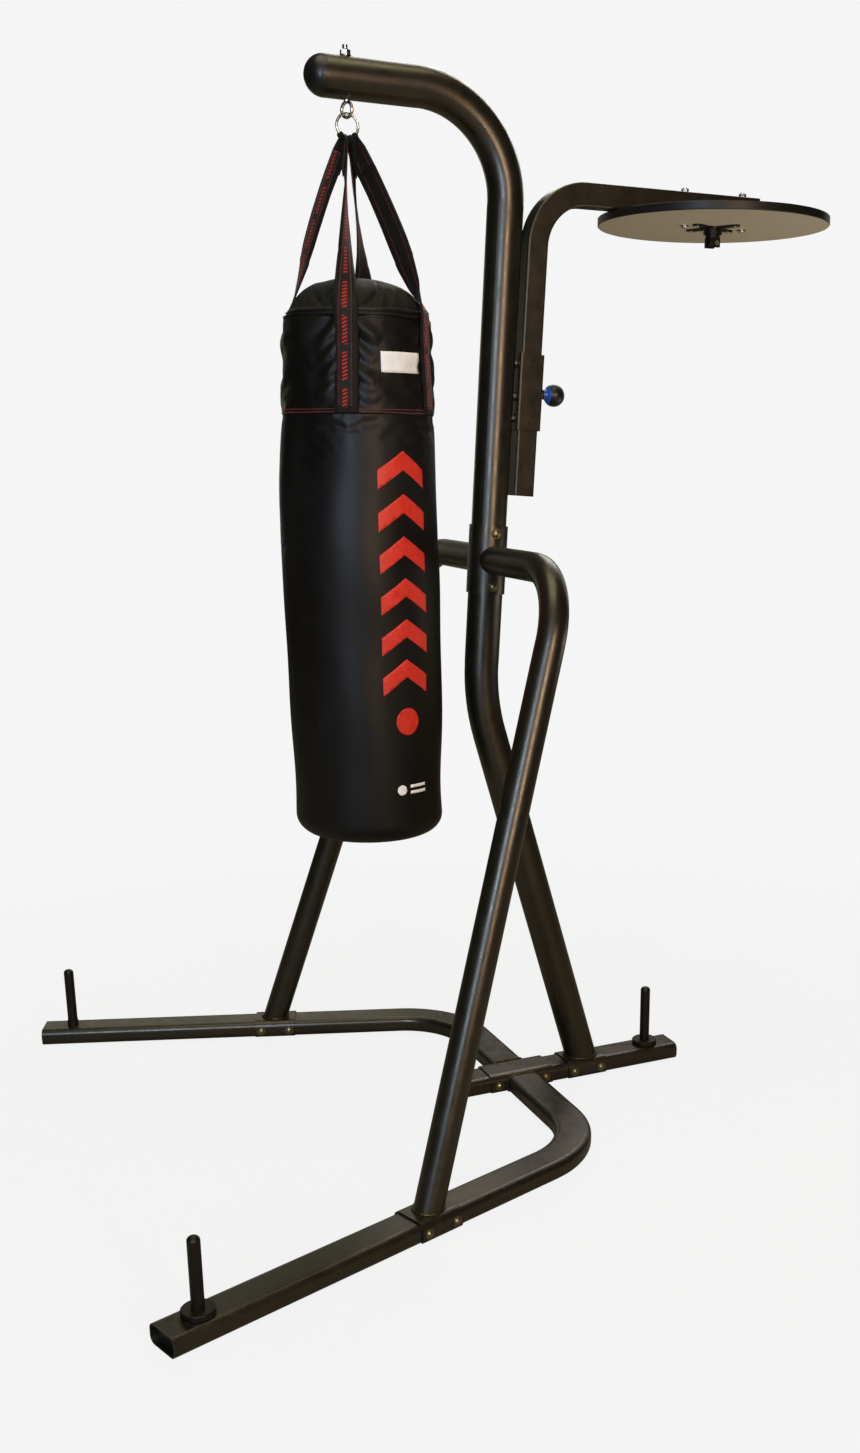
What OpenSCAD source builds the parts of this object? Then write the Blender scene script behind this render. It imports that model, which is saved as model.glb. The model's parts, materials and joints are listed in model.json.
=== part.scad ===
/* [Base] */
// Height of the flat base tubes
base_h = 38; // [32:1:44]
// Width of the flat base tubes
base_w = 76; // [70:1:84]
// Edge rounding of the base tubes
base_edge_r = 13; // [8:1:15]
// Wall of the base tubes
base_wall = 2.5; // [2:0.25:3]
// Half the distance between the two front feet, on their centre lines
foot_spread = 698; // [640:2:740]
// How far the front feet reach ahead of the mast
foot_reach = 845; // [790:5:880]
// Angle by which each side leg opens outward
leg_splay = 19; // [15:0.5:20]
// Centre line radius of the two rear corners of the base
base_bend_r = 185; // [150:5:200]
// How far the cross tube lies behind the mast
cross_back = 80; // [70:1:90]
// How far the rear leg reaches behind the mast
rear_leg_reach = 478; // [450:1:520]
// How far the rear leg sticks out ahead of the mast
rear_leg_front = 62; // [55:1:75]

/* [Weight pegs] */
// Diameter of a weight peg
peg_d = 22; // [18:1:24]
// Height of a peg above its tube
peg_h = 140; // [110:5:170]
// Distance from a tube's end to its peg
peg_inset = 67; // [60:1:80]
// Diameter of the loose collar on a peg
collar_d = 57; // [50:1:65]
// Thickness of the loose collar
collar_h = 11; // [8:1:14]

/* [Mast] */
// Diameter of the mast tube
mast_d = 70; // [66:1:74]
// Wall of the mast tube
mast_wall = 2.5; // [2:0.25:3]
// Angle by which the mast leans back from vertical
mast_lean = 3.7; // [2:0.1:4.5]
// Height of the bend above the mast's raked foot
knee_z = 876; // [850:2:900]
// How far behind the mast the raked foot lands
foot_back = 243; // [225:1:260]
// Centre line radius of the lower bend
knee_r = 430; // [350:10:460]
// Height of the bag arm's centre line
arm_z = 2004; // [1960:2:2050]
// Centre line radius of the bend below the bag arm
crook_r = 175; // [150:5:190]
// How far the bag arm reaches ahead of the mast's lower bend
arm_reach = 290; // [280:1:330]

/* [Struts] */
// Diameter of a strut tube
strut_d = 56; // [50:1:60]
// Height where the struts meet the mast
strut_z = 1159; // [1140:1:1180]
// Distance from the mast to a strut's shoulder
shoulder_x = 360; // [330:2:380]
// Centre line radius of a strut's shoulder
shoulder_r = 150; // [110:5:170]
// Distance from a front foot's end to its strut, along the leg
strut_inset = 547; // [520:1:570]
// Height of the two-part clamp that holds the struts
clamp_h = 134; // [126:2:146]
// Thickness of the clamp halves and of the saddles
plate_t = 3.6; // [3:0.2:4]

/* [Bag] */
// Diameter of the bag
bag_d = 304.8; // [290:1:320]
// How far the bag hangs ahead of the mast's lower bend
bag_reach = 248.5; // [244:0.5:252]
// Diameter of the bag at its rim, where the straps draw it in
bag_rim_d = 270; // [256:1:290]
// Height of the bag's underside
bag_low_z = 627; // [560:1:680]
// Height of the bag's rim
bag_rim_z = 1604; // [1580:1:1620]
// Height of the seam below the reinforced top band
bag_seam_z = 1436; // [1400:1:1480]
// Height of the top of the soft cover
bag_dome_z = 1668; // [1650:1:1680]
// Width of a hanging strap
strap_w = 44; // [36:1:50]
// Direction of the middle of the right-hand pair of straps
strap_turn = 10.75; // [0:0.25:20]
// Angle from the middle of a pair to each of its straps
strap_spread = 37.25; // [30:0.25:44]

/* [Speed bag platform] */
// Width of the square platform arm
beam_w = 43; // [38:1:46]
// Height of the platform arm's upper face
beam_top_z = 1868; // [1860:1:1880]
// Height of the platform arm's lower end
beam_low_z = 1289; // [1270:1:1310]
// Centre line radius of the platform arm's bend
beam_bend_r = 104; // [90:2:120]
// How far the platform arm reaches behind the mast's lower bend
beam_reach = 618; // [600:1:640]
// Diameter of the round board
board_d = 470; // [440:2:500]
// Thickness of the round board
board_t = 16; // [14:1:18]
// How far behind the mast's lower bend the board is centred
board_back = 523; // [515:1:530]
// Height of the middle of the sleeve that holds the arm
sleeve_z = 1484; // [1470:1:1500]
// Length of that sleeve
sleeve_len = 143; // [130:1:150]

/* [Hidden] */

$fn = 96;
steel = "#2b2823";
zinc = "#c9c2a4";
black = "#161616";
webbing = "#1b1718";
fit_gap = 0.2;           // between pieces that are bolted together
run_gap = 0.3;           // between pieces that move past each other
lap = 0.5;               // by which a tube's bend runs on inside its straights
pipe_step = 0.3;         // by which a round tube's bend is thinner than its straights, on each face
box_step = 0.02;         // the same for a flat-sided tube

// Base layout, measured from the mast's lower bend
leg_corner_x = foot_spread - (foot_reach + cross_back) * tan(leg_splay);
leg_corner_run = (foot_reach + cross_back) / cos(leg_splay);
base_turn = 90 - leg_splay;
base_tangent = base_bend_r * tan(base_turn / 2);
bracket_half_w = base_w / 2 + fit_gap + plate_t;
bracket_len = 150;
bracket_bolt_gap = 57;
saddle_len = 95;
saddle_bolt_gap = 33;
saddle_top = base_h + fit_gap + plate_t;
bolt_z = 19;
bolt_r = 4;
stud_r = 5;

// The frame's origin is under the middle of the whole object's box
front_edge = foot_reach + base_w / 2 * sin(leg_splay);
rear_edge = board_back + board_d / 2;
mast_y = (front_edge - rear_edge) / 2;

// Mast
mast_r = mast_d / 2;
rake = atan((foot_back) / (knee_z - saddle_top));
knee_turn = rake + mast_lean;
knee_tangent = knee_r * tan(knee_turn / 2);
crook_turn = 90 + mast_lean;
crook_tangent = crook_r * tan(crook_turn / 2);
crook_y = (arm_z - knee_z) * tan(mast_lean);
clamp_in_r = mast_r + fit_gap;
clamp_out_r = clamp_in_r + plate_t;
clamp_gap_angle = 18;
clamp_bolt_offset = 52;

// Struts: each lies in one plane that tips forward from the mast
strut_y = (strut_z - knee_z) * tan(mast_lean);
strut_foot_x = foot_spread - strut_inset * sin(leg_splay);
strut_foot_y = -foot_reach + strut_inset * cos(leg_splay);
strut_tip = atan((strut_y - strut_foot_y) / (strut_z - saddle_top));
strut_drop = norm([strut_y - strut_foot_y, strut_z - saddle_top]);
shoulder_turn = atan2(strut_drop, strut_foot_x - shoulder_x);
shoulder_tangent = shoulder_r * tan(shoulder_turn / 2);
strut_run = norm([strut_foot_x - shoulder_x, strut_drop]) - shoulder_tangent;

// Hanger: the eye closes against the arm, the ring hangs in the eye
eye_wire = 6;
eye_r = 12.5;
eye_turn = 28;
eye_z = arm_z - mast_r - eye_r - eye_wire / 2 - fit_gap;
ring_wire = 5;
ring_r = 20;
hang_gap = 0.6;
ring_pivot_z = eye_z - eye_r;
ring_z = ring_pivot_z + eye_wire / 2 + ring_wire / 2 + hang_gap - ring_r;
bag_pivot_z = ring_z - ring_r;
bag_y = -bag_reach;
bag_r = bag_d / 2;
taper_z = 1200;
rim_r = bag_rim_d / 2;
strap_turns = [strap_turn - strap_spread, strap_turn + strap_spread,
    strap_turn + 180 - strap_spread, strap_turn + 180 + strap_spread];
skin_t = 2;
bag_corner_r = 45;
band_t = 1.6;
strap_t = 2;

// Platform, in the mast's own leaning frame
sleeve_wall = 2.6;
liner_t = 1.2;
liner_in = beam_w + 2 * run_gap;
sleeve_in = liner_in + 2 * liner_t + fit_gap;
sleeve_w = sleeve_in + 2 * sleeve_wall;
sleeve_standoff = 4;
sleeve_bolt_steps = [-50, -9, 53];
beam_off = mast_r + sleeve_standoff + sleeve_w / 2;
beam_wall = 2.5;
beam_turn = 90 - mast_lean;
beam_mid_z = beam_top_z - beam_w / 2;
beam_tangent = beam_bend_r * tan(beam_turn / 2);
beam_corner_y = mast_lean_y(beam_mid_z) + beam_off / cos(mast_lean);
beam_rise = (beam_mid_z - beam_low_z + beam_off * sin(mast_lean)) / cos(mast_lean) - beam_tangent;
lock_r = 4;
lock_pitch = 30;
board_low_z = beam_top_z - beam_w - board_t;
board_bolt_gap = 68;

// Swivel under the board: a four-armed plate, a boss and a turning head with two ears
swivel_plate_t = 3;
plate_turn = 24;
screw_reach = 54;
boss_r = 19;
boss_h = 14;
stem_hole_r = 7.5;
head_r = 15;
flange_h = 6;
ear_drop = 18;
pin_above_tip = 7;

// Lock: bush on the sleeve's rear face, pin, inner collar and ball knob
lock_face = sleeve_w / 2;
bush_len = 9;
knob_r = 21.5;
knob_mid = lock_face + 36;
knob_cut = knob_mid - 12;

// Radius of the bag's body at a height z above the taper's start
function bag_side_r(z) = bag_r + (rim_r - bag_r) * (z - taper_z) / (bag_rim_z - taper_z);

// How far behind the lower bend the mast's centre line is at height z
function mast_lean_y(z) = (z - knee_z) * tan(mast_lean);

// Points of an arc round [cx, cy], from angle a to angle b in n steps
function arc(cx, cy, r, a, b, n) =
    [for (i = [0:n]) [cx + r * cos(a + (b - a) * i / n), cy + r * sin(a + (b - a) * i / n)]];

// Outline of a rectangle w by h with corners rounded by r, centred
function round_rect(w, h, r) = concat(
    arc(w / 2 - r, h / 2 - r, r, 0, 90, 6), arc(r - w / 2, h / 2 - r, r, 90, 180, 6),
    arc(r - w / 2, r - h / 2, r, 180, 270, 6), arc(w / 2 - r, r - h / 2, r, 270, 360, 6));

// Section of a rectangular tube, its wall thinned by t on both faces
module box_section(w, h, r, wall, t = 0) {
    in_r = max(r - wall, 0.8);
    difference() {
        polygon(round_rect(w - 2 * t, h - 2 * t, r));
        polygon(round_rect(w - 2 * wall + 2 * t, h - 2 * wall + 2 * t, in_r));
    }
}

// Section of a round tube, its wall thinned by t on both faces; the quarter turn keeps its seam off the holes
module pipe_section(d, wall, t = 0) {
    rotate(45) difference() {
        circle(d = d - 2 * t);
        circle(d = d - 2 * wall + 2 * t);
    }
}

// Sweeps a section up the Z axis for run mm, round one bend toward +X, then on for run2 mm.
// The second child is the bend's own section: a step thinner, so that its ends lap inside the straights.
module one_bend(run, turn, r, run2) {
    lap_angle = atan(lap / r);
    linear_extrude(height = run) children(0);
    translate([0, 0, run]) rotate([90, 0, 180]) translate([-r, 0, 0])
        rotate([0, 0, -lap_angle]) rotate_extrude(angle = turn + 2 * lap_angle)
            translate([r, 0]) children(1);
    translate([r * (1 - cos(turn)), 0, run + r * sin(turn)]) rotate([0, turn, 0])
        linear_extrude(height = run2) children(0);
}

module bent_pipe(d, wall, run, turn, r, run2) {
    one_bend(run, turn, r, run2) {
        pipe_section(d, wall);
        pipe_section(d, wall, pipe_step);
    }
}

module bent_box(w, h, edge_r, wall, run, turn, r, run2) {
    one_bend(run, turn, r, run2) {
        box_section(w, h, edge_r, wall);
        box_section(w, h, edge_r, wall, box_step);
    }
}

// Dome-headed bolt with its washer and nut, head at the origin pointing along +Z, stack mm thick
module dome_bolt(r, stack) {
    washer_r = 2.5 * r;
    washer_t = 1.6;
    head_r = 2 * r;
    head_h = 1.3 * r;
    nut_r = 1.9 * r;
    nut_h = 1.6 * r;
    rotate_extrude() polygon(concat(
        [[0, -stack - nut_h - washer_t - 2], [r, -stack - nut_h - washer_t - 2],
            [r, 0.01], [washer_r, 0.01], [washer_r, washer_t]],
        [for (a = [0:15:90]) [head_r * cos(a), washer_t + head_h * sin(a)]]));
    translate([0, 0, -stack - washer_t]) cylinder(r = washer_r, h = washer_t - 0.01);
    translate([0, 0, -stack - washer_t - nut_h]) cylinder(r = nut_r, h = nut_h, $fn = 6);
}

// Places a child whose origin is at the mast's lower bend, on the floor
module from_mast() {
    translate([0, mast_y, 0]) children();
}

// Places a child at the front end of the right leg's centre line, with +Y along the leg
module on_right_leg(run = 0) {
    from_mast() translate([foot_spread, -foot_reach, 0]) rotate([0, 0, leg_splay])
        translate([0, run, 0]) children();
}

// Places a child at the rear end of the rear leg's centre line, with +Y along the leg
module on_rear_leg(run = 0) {
    from_mast() translate([0, rear_leg_reach, 0]) mirror([0, 1, 0]) translate([0, run, 0]) children();
}

// Places a child where the mast's foot stands on the rear leg
module at_mast_foot() {
    from_mast() translate([0, foot_back, 0]) children();
}

// Places a child on the mast's leaning centre line at height z, with +Z along the mast
module on_mast(z) {
    from_mast() translate([0, mast_lean_y(z), z]) rotate([-mast_lean, 0, 0]) children();
}

// Places a child in the left half
module left_side() {
    mirror([1, 0, 0]) children();
}

// ---- Base ----
module side_tube() {
    difference() {
        on_right_leg() translate([0, 0, base_h / 2]) rotate([90, 0, 180])
            bent_box(base_w, base_h, base_edge_r, base_wall, leg_corner_run - base_tangent,
                base_turn, base_bend_r, leg_corner_x - base_tangent - bracket_half_w);
        on_right_leg(strut_inset) saddle_holes();
        on_right_leg(peg_inset) translate([0, 0, base_h / 2]) cylinder(r = stud_r + fit_gap, h = base_h);
    }
}

// Holes across a leg for the two bolts of a saddle
module saddle_holes() {
    for (s = [-1, 1]) translate([0, s * saddle_bolt_gap, bolt_z]) rotate([0, 90, 0])
        cylinder(r = bolt_r + fit_gap, h = 2 * base_w, center = true);
}

module rear_leg() {
    color(steel) difference() {
        from_mast() translate([0, -rear_leg_front, base_h / 2]) rotate([-90, 0, 0])
            linear_extrude(height = rear_leg_front + rear_leg_reach)
                box_section(base_w, base_h, base_edge_r, base_wall);
        from_mast() translate([0, foot_back, 0]) saddle_holes();
        from_mast() translate([0, rear_leg_reach - peg_inset, base_h / 2])
            cylinder(r = stud_r + fit_gap, h = base_h);
        from_mast() for (s = [-1, 1]) translate([0, cross_back + s * bracket_bolt_gap, bolt_z])
            rotate([0, 90, 0]) cylinder(r = bolt_r + fit_gap, h = 2 * base_w, center = true);
    }
}

// Upside-down channel that fits over a base tube, len mm long, centred on the origin
module channel(len) {
    inner_w = base_w + 2 * fit_gap;
    inner_h = base_h + 2 * fit_gap;
    outer_w = inner_w + 2 * plate_t;
    outer_h = inner_h + 2 * plate_t;
    skirt_z = 3;
    translate([0, len / 2, base_h / 2]) rotate([90, 0, 0]) linear_extrude(height = len)
        difference() {
            polygon(round_rect(outer_w, outer_h, base_edge_r + plate_t));
            polygon(round_rect(inner_w, inner_h, base_edge_r));
            translate([-base_w, -base_h - base_h / 2 + skirt_z]) square([2 * base_w, base_h]);
        }
}

module saddle() {
    difference() {
        channel(saddle_len);
        saddle_holes();
    }
}

module centre_bracket() {
    color(steel) from_mast() translate([0, cross_back, 0]) difference() {
        channel(bracket_len);
        for (s = [-1, 1]) translate([0, s * bracket_bolt_gap, bolt_z]) rotate([0, 90, 0])
            cylinder(r = bolt_r + fit_gap, h = 2 * base_w, center = true);
    }
}

// Two bolts across a base tube, gap mm either side of the origin, heads on the +X side
module bolt_pair(gap) {
    for (s = [-1, 1]) translate([bracket_half_w, s * gap, bolt_z]) rotate([0, 90, 0])
        dome_bolt(bolt_r, 2 * bracket_half_w);
}

module centre_bolts() {
    color(zinc) from_mast() translate([0, cross_back, 0]) bolt_pair(bracket_bolt_gap);
}

// The heads are on the +X side of both legs
module right_saddle_bolts() {
    color(zinc) on_right_leg(strut_inset) bolt_pair(saddle_bolt_gap);
}

module left_saddle_bolts() {
    color(zinc) left_side() on_right_leg(strut_inset) mirror([1, 0, 0]) bolt_pair(saddle_bolt_gap);
}

// Plastic plug that closes an open tube end, face at the origin, body toward +Y
module leg_plug() {
    lip_t = 3;
    plug_len = 22;
    plug_inset = 12;
    in_w = base_w - 2 * base_wall - fit_gap;
    in_h = base_h - 2 * base_wall - fit_gap;
    translate([0, plug_inset, base_h / 2]) rotate([-90, 0, 0]) difference() {
        linear_extrude(height = plug_len) polygon(round_rect(in_w, in_h, base_edge_r - base_wall));
        translate([0, 0, lip_t]) linear_extrude(height = plug_len)
            polygon(round_rect(in_w - 6, in_h - 6, base_edge_r - base_wall - 3));
    }
}

module peg() {
    tip_r = 8;
    rotate_extrude() polygon(concat(
        [[0, base_h - 12], [stud_r, base_h - 12], [stud_r, base_h + 0.01],
            [peg_d / 2 + 1.5, base_h + 0.01], [peg_d / 2 + 1.5, base_h + collar_h + 1],
            [peg_d / 2, base_h + collar_h + 1]],
        arc(peg_d / 2 - tip_r, base_h + peg_h - tip_r, tip_r, 0, 90, 6),
        [[0, base_h + peg_h]]));
}

module collar() {
    bore_r = peg_d / 2 + 1.5 + run_gap;
    edge = 1.5;
    low = base_h + run_gap;
    rotate_extrude() polygon([[bore_r, low], [collar_d / 2 - edge, low], [collar_d / 2, low + edge],
        [collar_d / 2, low + collar_h - edge], [collar_d / 2 - edge, low + collar_h],
        [bore_r, low + collar_h]]);
}

// ---- Mast and struts ----
module lower_mast() {
    color(steel) difference() {
        from_mast() translate([0, foot_back, saddle_top]) rotate([0, 0, 90]) rotate([0, -rake, 0])
            translate([0, 0, -30])
            bent_pipe(mast_d, mast_wall, 30 + (knee_z - saddle_top) / cos(rake) - knee_tangent,
                knee_turn, knee_r, (strut_z - knee_z) / cos(mast_lean) - knee_tangent);
        from_mast() translate([0, foot_back, saddle_top - 100]) cube([200, 200, 200], center = true);
        clamp_bolt_holes();
    }
}

// Holes through the mast for the two clamp bolts
module clamp_bolt_holes() {
    for (s = [-1, 1]) on_mast(strut_z) translate([0, 0, s * clamp_bolt_offset]) rotate([0, 90, 0])
        cylinder(r = bolt_r + fit_gap, h = 4 * mast_r, center = true);
}

// Holes in the mast's rear wall for the sleeve's three bolts
module sleeve_bolt_holes() {
    for (s = sleeve_bolt_steps) on_mast(sleeve_z) translate([0, 0, s]) rotate([-90, 0, 0])
        cylinder(r = bolt_r + fit_gap, h = beam_off);
}

module upper_mast() {
    joint_gap = 1;
    color(steel) difference() {
        on_mast(strut_z) rotate([0, 0, -90]) translate([0, 0, joint_gap])
            bent_pipe(mast_d, mast_wall,
                (arm_z - strut_z) / cos(mast_lean) - crook_tangent - joint_gap, crook_turn,
                crook_r, arm_reach + crook_y - crook_tangent);
        clamp_bolt_holes();
        sleeve_bolt_holes();
        from_mast() translate([0, bag_y, arm_z]) cylinder(r = 5 + fit_gap, h = 3 * mast_r, center = true);
    }
}

module mast_coupling() {
    coupling_len = 150;
    color(steel) difference() {
        on_mast(strut_z) translate([0, 0, -coupling_len / 2]) linear_extrude(height = coupling_len)
            pipe_section(mast_d - 2 * mast_wall - fit_gap, mast_wall);
        clamp_bolt_holes();
    }
}

// Round-nosed plug in the end of the bag arm
module mast_end_cap() {
    nose_gap = 0.1;
    spigot_r = mast_r - mast_wall - fit_gap;
    color(black) from_mast() translate([0, -arm_reach, arm_z]) rotate([90, 0, 0])
        rotate_extrude() polygon(concat([[0, -20], [spigot_r, -20], [spigot_r, nose_gap]],
            arc(0, nose_gap, mast_r, 0, 90, 12)));
}

// Half shell round the mast on the +X side
module clamp_half() {
    difference() {
        on_mast(strut_z) translate([0, 0, -clamp_h / 2]) rotate([0, 0, clamp_gap_angle - 90])
            rotate_extrude(angle = 180 - 2 * clamp_gap_angle)
                translate([clamp_in_r, 0]) square([plate_t, clamp_h]);
        clamp_bolt_holes();
    }
}

module clamp_bolts() {
    color(zinc) for (s = [-1, 1]) on_mast(strut_z)
        translate([clamp_out_r, 0, s * clamp_bolt_offset]) rotate([0, 90, 0])
            dome_bolt(bolt_r, 2 * clamp_out_r);
}

module strut() {
    difference() {
        from_mast() translate([0, strut_y, strut_z]) rotate([-strut_tip, 0, 0]) rotate([0, 90, 0])
            translate([0, 0, clamp_in_r / 2])
            bent_pipe(strut_d, 2.2, shoulder_x - shoulder_tangent - clamp_in_r / 2,
                shoulder_turn, shoulder_r, strut_run + 30);
        on_mast(strut_z) cylinder(r = clamp_out_r + 0.05, h = 2 * clamp_h, center = true);
        from_mast() translate([strut_foot_x, strut_foot_y, saddle_top - 100])
            cube([300, 300, 200], center = true);
    }
}

// ---- Hanger ----
module eyebolt() {
    color(zinc) from_mast() translate([0, bag_y, eye_z]) rotate([0, 0, eye_turn]) union() {
        rotate([90, 0, 0]) rotate_extrude() translate([eye_r, 0]) circle(d = eye_wire, $fn = 32);
        translate([0, 0, eye_r]) cylinder(r = 5, h = arm_z + mast_r + 18 - eye_z - eye_r);
    }
}

module eyebolt_nut() {
    nut_low = arm_z + mast_r + 0.1;
    washer_t = 1.6;
    bore_r = 5 + fit_gap;
    color(zinc) from_mast() translate([0, bag_y, nut_low]) difference() {
        union() {
            cylinder(r = 11, h = washer_t);
            translate([0, 0, washer_t]) cylinder(r = 9.5, h = 8, $fn = 6);
        }
        translate([0, 0, -1]) cylinder(r = bore_r, h = 20);
    }
}

module hook_ring() {
    color(zinc) from_mast() translate([0, bag_y, ring_z]) rotate([0, 90, 0])
        rotate_extrude() translate([ring_r, 0]) circle(d = ring_wire, $fn = 32);
}

// ---- Bag ----
module on_bag(z) {
    from_mast() translate([0, bag_y, z]) children();
}

// Folded webbing loop round the ring's lowest wire
module bag_loop() {
    loop_in_r = 4.3;
    loop_out_r = 6.6;
    loop_w = 13;
    color(webbing) on_bag(bag_pivot_z) rotate([90, 0, 0]) difference() {
        cylinder(r = loop_out_r, h = loop_w, center = true);
        cylinder(r = loop_in_r, h = loop_w + 2, center = true);
    }
}

// Side outline of the bag's body, grown inward by t
function bag_outline(t) = concat(
    [[0, bag_low_z + t]],
    arc(bag_r - bag_corner_r, bag_low_z + bag_corner_r, bag_corner_r - t, -90, 0, 8),
    [[bag_r - t, taper_z], [rim_r - t, bag_rim_z - t], [0, bag_rim_z - t]]);

module bag_skin() {
    color(black) on_bag(0) rotate_extrude() difference() {
        polygon(bag_outline(0));
        polygon(bag_outline(skin_t));
    }
}

module bag_filling() {
    color("dimgray") on_bag(0) rotate_extrude() polygon(bag_outline(skin_t + 0.1));
}

// Soft cover gathered over the filling, inside the rim
module bag_top_cover() {
    cover_r = rim_r - 8;
    rise = bag_dome_z - bag_rim_z;
    color("#2e2f25") on_bag(bag_rim_z + 0.1) rotate_extrude()
        polygon(concat([[0, 0]], [for (a = [0:7.5:90]) [cover_r * pow(cos(a), 0.55), rise * sin(a)]]));
}

// Second layer of skin between the seam and the rim
module bag_top_band() {
    low = bag_seam_z - 6;
    high = bag_rim_z - 10;
    color(black) on_bag(0) rotate_extrude() translate([0.1, 0]) polygon([[bag_side_r(low), low],
        [bag_side_r(low) + band_t, low], [bag_side_r(high) + band_t, high], [bag_side_r(high), high]]);
}

module bag_rim_piping() {
    pipe_r = 2.6;
    color(black) on_bag(bag_rim_z - 4) rotate_extrude()
        translate([rim_r + pipe_r + 0.6, 0]) circle(r = pipe_r, $fn = 24);
}

// Strap k of four: from the ring over the rim and down the side to the seam
module strap(k) {
    stand_off = 6.3;
    rim_out_z = bag_rim_z + 4;
    low = bag_seam_z - 4;
    low_r = bag_side_r(low) + stand_off;
    top_r = 7.2;
    top_z = bag_pivot_z - 7;
    apart = 0.4;
    wedge = (bag_d - apart) * tan(strap_spread);
    color(webbing) on_bag(0) rotate([0, 0, strap_turns[k]]) intersection() {
        rotate([90, 0, 0]) translate([0, 0, -strap_w / 2]) linear_extrude(height = strap_w)
            polygon([[top_r, top_z], [top_r + strap_t, top_z + 1],
                [rim_r + stand_off + strap_t, rim_out_z], [low_r + strap_t, low], [low_r, low],
                [rim_r + stand_off, rim_out_z - 3]]);
        translate([0, 0, bag_low_z]) linear_extrude(height = bag_pivot_z - bag_low_z)
            polygon([[apart, 0], [bag_d, wedge], [bag_d, -wedge]]);
    }
}

// ---- Speed bag platform ----
module on_beam(z) {
    on_mast(z) translate([0, beam_off, 0]) children();
}

module sleeve() {
    dot_inset = 12;
    color(steel) difference() {
        on_beam(sleeve_z) translate([0, 0, -sleeve_len / 2]) linear_extrude(height = sleeve_len)
            box_section(sleeve_w, sleeve_w, 4, sleeve_wall);
        sleeve_bolt_holes();
        on_beam(sleeve_z) rotate([-90, 0, 0]) cylinder(r = lock_r + run_gap, h = sleeve_w);
        for (s = [-1, 1]) on_beam(sleeve_z) translate([0, 0, s * (sleeve_len / 2 - dot_inset)])
            rotate([0, 90, 0]) cylinder(r = 2.5, h = 2 * sleeve_w, center = true);
    }
}

module sleeve_liner() {
    liner_out = liner_in + 2 * liner_t;
    color(black) difference() {
        on_beam(sleeve_z) translate([0, 0, -sleeve_len / 2 + 1]) linear_extrude(height = sleeve_len - 2)
            box_section(liner_out, liner_out, 2.2, liner_t);
        on_beam(sleeve_z) rotate([-90, 0, 0]) cylinder(r = lock_r + run_gap, h = sleeve_w);
    }
}

// Three bolts with spacers that hold the sleeve off the mast
module sleeve_bolts() {
    end_y = mast_r + sleeve_standoff + sleeve_wall - 0.1;
    spacer_r = 8;
    color(zinc) for (s = sleeve_bolt_steps) on_mast(sleeve_z) translate([0, 0, s])
        rotate([-90, 0, 0]) rotate_extrude() polygon([[0, 20], [7, 20], [7, 30.5], [bolt_r, 30.5],
            [bolt_r, mast_r + 0.1], [spacer_r, mast_r + 0.1],
            [spacer_r, mast_r + sleeve_standoff - 0.1], [bolt_r, mast_r + sleeve_standoff - 0.1],
            [bolt_r, end_y], [0, end_y]]);
}

// Square tube that rises behind the mast and turns back over the board
module platform_beam() {
    color(steel) difference() {
        on_beam(beam_low_z) rotate([0, 0, 90])
            bent_box(beam_w, beam_w, 4, beam_wall, beam_rise, beam_turn, beam_bend_r,
                beam_reach - beam_corner_y - beam_tangent);
        for (i = [-4:3]) on_beam(sleeve_z) translate([0, 0, i * lock_pitch]) rotate([-90, 0, 0])
            cylinder(r = lock_r + 0.5, h = beam_w);
        for (s = [-1, 1]) from_mast() translate([0, board_back + s * board_bolt_gap, board_low_z])
            cylinder(r = bolt_r + fit_gap, h = 4 * beam_w);
    }
}

// Plug in an end of the platform arm: thin lid at the origin, body toward +Z
module beam_plug() {
    in_w = beam_w - 2 * beam_wall - fit_gap;
    lid_t = 2.5;
    linear_extrude(height = 14) polygon(round_rect(in_w, in_w, 1.6));
    translate([0, 0, -lid_t]) linear_extrude(height = lid_t) polygon(round_rect(beam_w, beam_w, 4));
}

module beam_end_cap() {
    color(black) from_mast() translate([0, beam_reach, beam_mid_z]) rotate([90, 0, 0]) beam_plug();
}

module platform_board() {
    edge = 1.5;
    color("#6f6455") from_mast() translate([0, board_back, board_low_z]) difference() {
        rotate_extrude($fn = 180) polygon([[0, 0], [board_d / 2 - edge, 0], [board_d / 2, edge],
            [board_d / 2, board_t - edge], [board_d / 2 - edge, board_t], [0, board_t]]);
        for (s = [-1, 1]) translate([0, s * board_bolt_gap, -1])
            cylinder(r = bolt_r + fit_gap, h = 2 * board_t);
        for (k = [0:3]) rotate([0, 0, plate_turn + 90 * k]) translate([screw_reach, 0, -1])
            cylinder(r = 2.2, h = board_t / 2 + 1);
    }
}

// Two carriage bolts, domes under the board, nuts on top of the arm
module board_bolts() {
    color(zinc) for (s = [-1, 1]) from_mast()
        translate([0, board_back + s * board_bolt_gap, board_low_z]) rotate([180, 0, 0])
            dome_bolt(bolt_r, board_t + beam_w);
}

// Four-armed plate with the swivel's boss in the middle
module swivel_plate() {
    arm_w = 20;
    color(black) from_mast() translate([0, board_back, board_low_z]) difference() {
        union() {
            for (k = [0, 1]) rotate([0, 0, plate_turn + 90 * k]) translate([0, 0, -swivel_plate_t])
                linear_extrude(height = swivel_plate_t - 0.05)
                    polygon(round_rect(2 * screw_reach + arm_w, arm_w, arm_w / 2 - 0.5));
            translate([0, 0, -boss_h]) cylinder(r = boss_r, h = boss_h - 0.05);
        }
        translate([0, 0, -boss_h - 1]) cylinder(r = stem_hole_r, h = boss_h - 2);
        for (k = [0:3]) rotate([0, 0, plate_turn + 90 * k]) translate([screw_reach, 0, -boss_h])
            cylinder(r = 2.5, h = 2 * boss_h);
    }
}

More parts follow.
